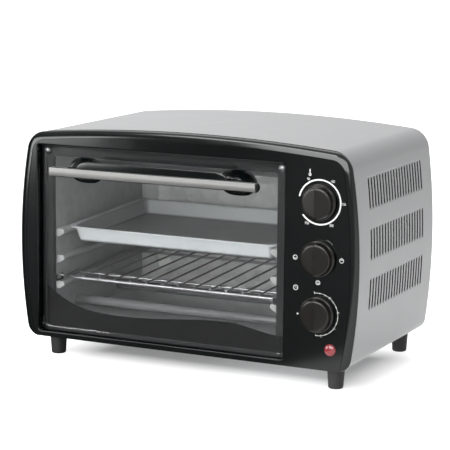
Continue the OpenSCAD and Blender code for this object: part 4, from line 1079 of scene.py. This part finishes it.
def feet():
    """Four rubber feet: a tapered profile with a rounded lower edge, turned about its line."""
    for name in ("foot_front_left", "foot_front_right", "foot_back_left", "foot_back_right"):
        box_low, box_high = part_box(name)
        top_r, tall = (box_high.x - box_low.x) / 2, box_high.z
        profile = softened([(0, 0), (FOOT_R, 0), (top_r, tall), (0, tall)],
                           [FOOT_CORNER, FOOT_TOP_CORNER], 6)
        skin = Skin()
        skin.grid(revolved(profile, (middle(name).x, middle(name).y, 0), 48, axis="z"))
        skin.piece(name.replace("foot", "pad"), "chassis", "black_rubber", replaces=name)


# ---------- Prints: lengths here are in millimetres ----------

INK_FRONT, INK_BACK = 0.05 * MM, 0.001 * MM
HEAT_NUMBERS = ((119, "50"), (58, "100"), (0, "150"), (-60, "200"), (-122, "250"))
# Each small sign of the middle dial: its place from the dial, and the heights of its bars.
CHOICE_SIGNS = ((-24.7, -0.7, (-0.8,)), (23.8, -0.1, (0.8,)), (-0.5, -23.7, (-0.8, 0.8)))
DIGITS = {
    "0": [(0.1, 0), (0.9, 0), (0.9, 1), (0.1, 1), (0.1, 0)],
    "1": [(0.2, 0.75), (0.6, 1), (0.6, 0)],
    "2": [(0.1, 0.95), (0.9, 1), (0.9, 0.55), (0.1, 0.02), (0.95, 0.02)],
    "5": [(0.9, 1), (0.15, 1), (0.15, 0.55), (0.9, 0.5), (0.9, 0), (0.1, 0)],
}


def stroke(path, width):
    """A flat band along a path of (x, z): the path shifted to each side by half the width."""
    run = np.gradient(path, axis=0)
    run /= np.linalg.norm(run, axis=1)[:, None]
    side = np.stack([-run[:, 1], run[:, 0]], -1) * width / 2
    return path + side, path - side


def inked(name, strokes):
    """Strokes of (path, width) on the bezel face, as one closed film a few hundredths thick."""
    face = low("front_bezel").y
    front, back = face - INK_FRONT, face - INK_BACK
    skin = Skin()
    for path, width in strokes:
        one, two = stroke(np.asarray(path, float) * MM, width * MM)
        loop = [(one, front), (two, front), (two, back), (one, back), (one, front)]
        skin.bar(np.array([np.insert(line, 1, y, axis=1) for line, y in loop]))
    skin.piece(name, "chassis", "white_ink")


def ring_path(centre, r, steps, start=0, end=360):
    """Points (x, z) round a centre, by angle from the right, anticlockwise."""
    return arc_points(centre, r, math.radians(start), math.radians(end), steps)


def spoke(centre, r0, r1, angle):
    a = math.radians(angle)
    return [[centre[0] + r * math.cos(a), centre[1] + r * math.sin(a)] for r in (r0, r1)]


def number(text, x, z, tall, width):
    """A plain number written with straight strokes, centred on (x, z)."""
    step = tall * 0.72
    left = x - step * len(text) / 2
    return [([(left + (i + 0.1 + 0.75 * u) * step, z + (v - 0.5) * tall) for u, v in DIGITS[digit]],
             width) for i, digit in enumerate(text)]


def prints():
    """The scales round the dials: arcs, ticks, plain numbers and small signs for heat and time."""
    heat, choice, clock = ((middle(f"{k}_knob").x / MM, middle(f"{k}_knob").z / MM)
                           for k in ("thermostat", "selector", "timer"))
    marks = [(ring_path(heat, 21.7, 90, 168, -143), 1.5)]
    for angle, text in HEAT_NUMBERS:
        marks += number(text, *spoke(heat, 0, 24.9, angle)[1], 2.1, 0.3)
    x, z = heat[0] - 10.6, heat[1] + 28.5
    marks += [(ring_path((x, z - 2.2), 1.1, 20), 0.7), ([(x, z - 1.2), (x, z + 3)], 0.9)]
    inked("heat_scale", marks)

    marks = [(ring_path(choice, 20.5, 12, 68, 45), 0.1)]
    for right, up, bars in CHOICE_SIGNS:
        x, z = choice[0] + right, choice[1] + up
        marks.append((ring_path((x, z), 2.1, 28), 0.45))
        marks += [([(x - 1.2, z + bar), (x + 1.2, z + bar)], 0.5) for bar in bars]
    inked("choice_signs", marks)

    marks = [(ring_path(clock, 21.0, 80, 100, -95), 0.35)]
    marks += [(spoke(clock, 20.2, 21.6 if i % 3 else 22.6, 100 - 15 * i), 0.45) for i in range(14)]
    x, z = clock[0] - 23.8, clock[1] + 24.5
    marks += [(ring_path((x, z), 2.3, 28), 0.5), ([(x, z + 1.4), (x, z), (x + 1.1, z)], 0.4),
              (ring_path((clock[0] - 21.3, clock[1] - 1.3), 0.5, 12), 0.6)]
    inked("time_scale", marks)


# ---------- Finishes of the pieces that stay as built ----------

KEPT = {
    "galvanised_steel": ("base_panel", "rear_panel", "hinge_brackets", "timer"),
    "bright_steel": ("rear_screws", "bezel_screws", "handle_screws", "foot_screws", "hinge_pins",
                     "door_spring", "thermostat_shaft", "selector_shaft", "timer_shaft",
                     "timer_bell"),
    "ivory_ceramic": ("terminal_block", "heater_caps", "selector_switch"),
    "bakelite": ("thermostat", "lamp_holder"),
    "black_rubber": ("cord_gland",),
    "painted_shade_steel": ("bulkhead",),
    "shaded_side_steel": ("chamber_left", "chamber_right"),
    "liner_steel": ("chamber_roof", "chamber_floor"),
    "lit_back_steel": ("chamber_back",),
    "tray_aluminium": ("crumb_tray",),
    "door_glass": ("door_glass",),
    "dark_steel": ("door_frame",),
    "chromed_wire": ("corner_screws",),
    "brass_nut": ("control_nuts",),
}


def dress_kept():
    for finish_name, names in KEPT.items():
        for name in names:
            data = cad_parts[name].data
            data.materials.clear()
            data.materials.append(material(finish_name))


# ---------- Stage ----------

FLOOR_SIZE = 8.0
CAMERA_PLACE, CAMERA_LENS = (0.84976, -1.76533, 0.47639), 152.24
CAMERA_YAW, CAMERA_PITCH, CAMERA_ROLL = (math.radians(v) for v in (25.786, 9.818, 0.528))
# Lamps: name, place, aim, width, height and power.
LAMPS = [
    ("key", (0.0, -2.3, 0.72), (0, 0, 0.12), 1.8, 1.2, 52),
    ("top", (-0.5, -0.1, 1.8), (0, 0, 0.1), 1.9, 1.4, 33),
    ("left", (-1.3, -1.35, 0.26), (0, 0, 0.15), 0.9, 0.7, 15),
    ("glint", (-0.7, -1.95, 1.4), (0, -0.1, 0.2), 0.9, 0.3, 8),
]
# Polished faces see a dark sector round DARK_WAY, between these cosines of the angle to it.
DARK_WAY, DARK_EDGE = (-0.5, -0.866, 0.0), (0.545, 0.643)
SURROUND_FRONT, SURROUND_GLOSS, SURROUND_LIGHT = 0.015, 0.85, 0.18
SURROUND_RISE = (0.2, 0.7)
# The floor's glow under the oven, its least level through glass near the oven, and the distances
# over which that level fades.
FLOOR_LIFT, FLOOR_NEAR, FLOOR_REACH = 0.12, 0.15, (0.35, 0.6)
# Painted shadow: the rectangle's middle, half sizes, and how far outside it the glow is full.
FLOOR_MIDDLE, FLOOR_CORE, FLOOR_FADE = (0.015, 0.0, 0.0), (0.13, 0.048, 1.0), 0.055


def stage():
    """A pale floor that takes the shadow, a bright surround, four soft lamps and the camera."""
    scene = bpy.context.scene
    corners = [(x * FLOOR_SIZE, y * FLOOR_SIZE, 0) for x, y in ((-1, -1), (1, -1), (1, 1), (-1, 1))]
    data = bpy.data.meshes.new("floor")
    data.from_pydata(corners, [], [(0, 1, 2, 3)])
    floor = bpy.data.objects.new("floor", data)
    scene.collection.objects.link(floor)
    data.materials.append(floor_material())
    scene.world = surround()

    for name, place, aim, wide, tall, power in LAMPS:
        lamp = bpy.data.lights.new(name, "AREA")
        lamp.shape, lamp.size, lamp.size_y, lamp.energy = "RECTANGLE", wide, tall, power
        made = bpy.data.objects.new(name, lamp)
        scene.collection.objects.link(made)
        made.location = place
        made.rotation_euler = (Vector(aim) - Vector(place)).to_track_quat("-Z", "Y").to_euler()

    lens_data = bpy.data.cameras.new("camera")
    lens_data.sensor_width, lens_data.lens = 36, CAMERA_LENS
    camera = bpy.data.objects.new("camera", lens_data)
    scene.collection.objects.link(camera)
    level = math.cos(CAMERA_PITCH)
    ahead = Vector((-math.sin(CAMERA_YAW) * level, math.cos(CAMERA_YAW) * level,
                    -math.sin(CAMERA_PITCH)))
    right = Vector((math.cos(CAMERA_YAW), math.sin(CAMERA_YAW), 0))
    up = right.cross(ahead)
    c, s = math.cos(CAMERA_ROLL), math.sin(CAMERA_ROLL)
    turn = Matrix((right * c + up * s, up * c - right * s, -ahead)).transposed()
    camera.matrix_world = Matrix.Translation(CAMERA_PLACE) @ turn.to_4x4()
    scene.camera = camera
    scene.view_settings.view_transform = "Standard"


def around(tree, way):
    """How bright polished faces see the surround along a direction: dark in a sector in front."""
    unit = vector(tree, "NORMALIZE", vector(tree, "MULTIPLY", way, (1.0, 1.0, 0.0)))
    along = vector(tree, "DOT_PRODUCT", unit, DARK_WAY)
    return spread(tree, along, *DARK_EDGE, SURROUND_GLOSS, SURROUND_FRONT)


def floor_material():
    """White to the eye and through glass, while polished faces see it dark in front of the oven.

    To the eye it glows by its distance from a rectangle under the oven, so the lamps' shadow stays;
    the glow held low round the oven is itself a painted shadow.
    """
    made, tree, shader = new_material("pale_floor")
    shader["Roughness"].default_value = 0.6
    shader["Specular IOR Level"].default_value = 0.1
    shader["Emission Color"].default_value = (1, 1, 1, 1)
    path = node(tree, "ShaderNodeLightPath").outputs
    spot = coordinates(tree)
    shine = around(tree, spot)
    near = spread(tree, vector(tree, "LENGTH", spot), *FLOOR_REACH, FLOOR_NEAR, 0.0)
    glossy = mix(tree, path["Is Glossy Ray"], 1.0, shine)
    level = mix(tree, path["Is Transmission Ray"], glossy, calc(tree, "MAXIMUM", shine, near))
    tree.links.new(vector(tree, "SCALE", tuple(colours().floor), scale=level), shader["Base Color"])
    plan = vector(tree, "ABSOLUTE", vector(tree, "SUBTRACT", spot, FLOOR_MIDDLE))
    past = vector(tree, "MAXIMUM", vector(tree, "SUBTRACT", plan, FLOOR_CORE), (0.0, 0.0, 0.0))
    # Painted shadow: the glow is low under the oven and full just past its edges.
    glow = spread(tree, vector(tree, "LENGTH", past), 0.0, FLOOR_FADE, FLOOR_LIFT, 1.0)
    bent = calc(tree, "MAXIMUM", path["Is Glossy Ray"], path["Is Transmission Ray"])
    lift = calc(tree, "MAXIMUM", calc(tree, "MULTIPLY", path["Is Camera Ray"], glow),
                calc(tree, "MULTIPLY", bent, level))
    tree.links.new(lift, shader["Emission Strength"])
    return made


def surround():
    """A white world for the eye and through glass; polished faces see it darker low in front."""
    world = bpy.data.worlds.new("surround")
    world.use_nodes = True
    tree = world.node_tree
    back = tree.nodes["Background"].inputs
    path = node(tree, "ShaderNodeLightPath").outputs
    way = coordinates(tree, "Generated")
    height = node(tree, "ShaderNodeSeparateXYZ", {"Vector": way}).outputs["Z"]
    gloss = calc(tree, "MAXIMUM", around(tree, way), spread(tree, height, *SURROUND_RISE, 0.0, 1.0))
    direct = calc(tree, "MAXIMUM", path["Is Camera Ray"], path["Is Transmission Ray"])
    level = mix(tree, direct, mix(tree, path["Is Glossy Ray"], SURROUND_LIGHT, gloss), 1.0)
    back["Color"].default_value = (1, 1, 1, 1)
    tree.links.new(level, back["Strength"])
    return world


# ---------- Operators, panel and registration ----------


class OVEN_OT_stage(bpy.types.Operator):
    """Adds the floor, the surround, the lamps and the camera"""
    bl_idname = "oven.stage"
    bl_label = "Stage"

    def execute(self, context):
        stage()
        return {"FINISHED"}


class OVEN_OT_casing(bpy.types.Operator):
    """Builds the curved steel wrap with its vent slots, and sheets of painted shade in the louvres"""
    bl_idname = "oven.casing"
    bl_label = "Casing"

    def execute(self, context):
        casing()
        shade_sheets()
        return {"FINISHED"}


class OVEN_OT_bezel(bpy.types.Operator):
    """Builds the gloss moulding round the door, and the lamp"""
    bl_idname = "oven.bezel"
    bl_label = "Bezel"

    def execute(self, context):
        bezel()
        lens()
        return {"FINISHED"}


class OVEN_OT_door(bpy.types.Operator):
    """Builds the printed band, the handle and the corner screws"""
    bl_idname = "oven.door"
    bl_label = "Door"

    def execute(self, context):
        band()
        handle()
        domes()
        return {"FINISHED"}


class OVEN_OT_chamber(bpy.types.Operator):
    """Builds the rack, the pan and the heater tubes"""
    bl_idname = "oven.chamber"
    bl_label = "Chamber"

    def execute(self, context):
        rack()
        pan()
        heaters()
        return {"FINISHED"}


class OVEN_OT_controls(bpy.types.Operator):
    """Builds the knobs and the scales round them"""
    bl_idname = "oven.controls"
    bl_label = "Controls"

    def execute(self, context):
        knobs()
        prints()
        return {"FINISHED"}


class OVEN_OT_feet(bpy.types.Operator):
    """Builds the four rubber feet"""
    bl_idname = "oven.feet"
    bl_label = "Feet"

    def execute(self, context):
        feet()
        return {"FINISHED"}


class OVEN_OT_finishes(bpy.types.Operator):
    """Gives the pieces that stay as built their finishes"""
    bl_idname = "oven.finishes"
    bl_label = "Finishes"

    def execute(self, context):
        dress_kept()
        return {"FINISHED"}


OPERATORS = [OVEN_OT_stage, OVEN_OT_casing, OVEN_OT_bezel, OVEN_OT_door, OVEN_OT_chamber,
             OVEN_OT_controls, OVEN_OT_feet, OVEN_OT_finishes]


class OVEN_PT_panel(bpy.types.Panel):
    bl_label = "Toaster oven"
    bl_space_type = "VIEW_3D"
    bl_region_type = "UI"
    bl_category = "Oven"

    def draw(self, context):
        for made in OPERATORS:
            self.layout.operator(made.bl_idname)
        for group in (context.scene.oven_sizes, context.scene.oven_colours):
            for key in group.__annotations__:
                self.layout.prop(group, key)


CLASSES = [OvenSizes, OvenColours, *OPERATORS, OVEN_PT_panel]


def register():
    for made in CLASSES:
        bpy.utils.register_class(made)
    bpy.types.Scene.oven_sizes = PointerProperty(type=OvenSizes)
    bpy.types.Scene.oven_colours = PointerProperty(type=OvenColours)


def unregister():
    del bpy.types.Scene.oven_sizes, bpy.types.Scene.oven_colours
    for made in reversed(CLASSES):
        bpy.utils.unregister_class(made)


def main():
    register()
    for made in OPERATORS:
        getattr(bpy.ops.oven, made.bl_idname.split(".")[1])()


if __name__ == "__main__":
    main()
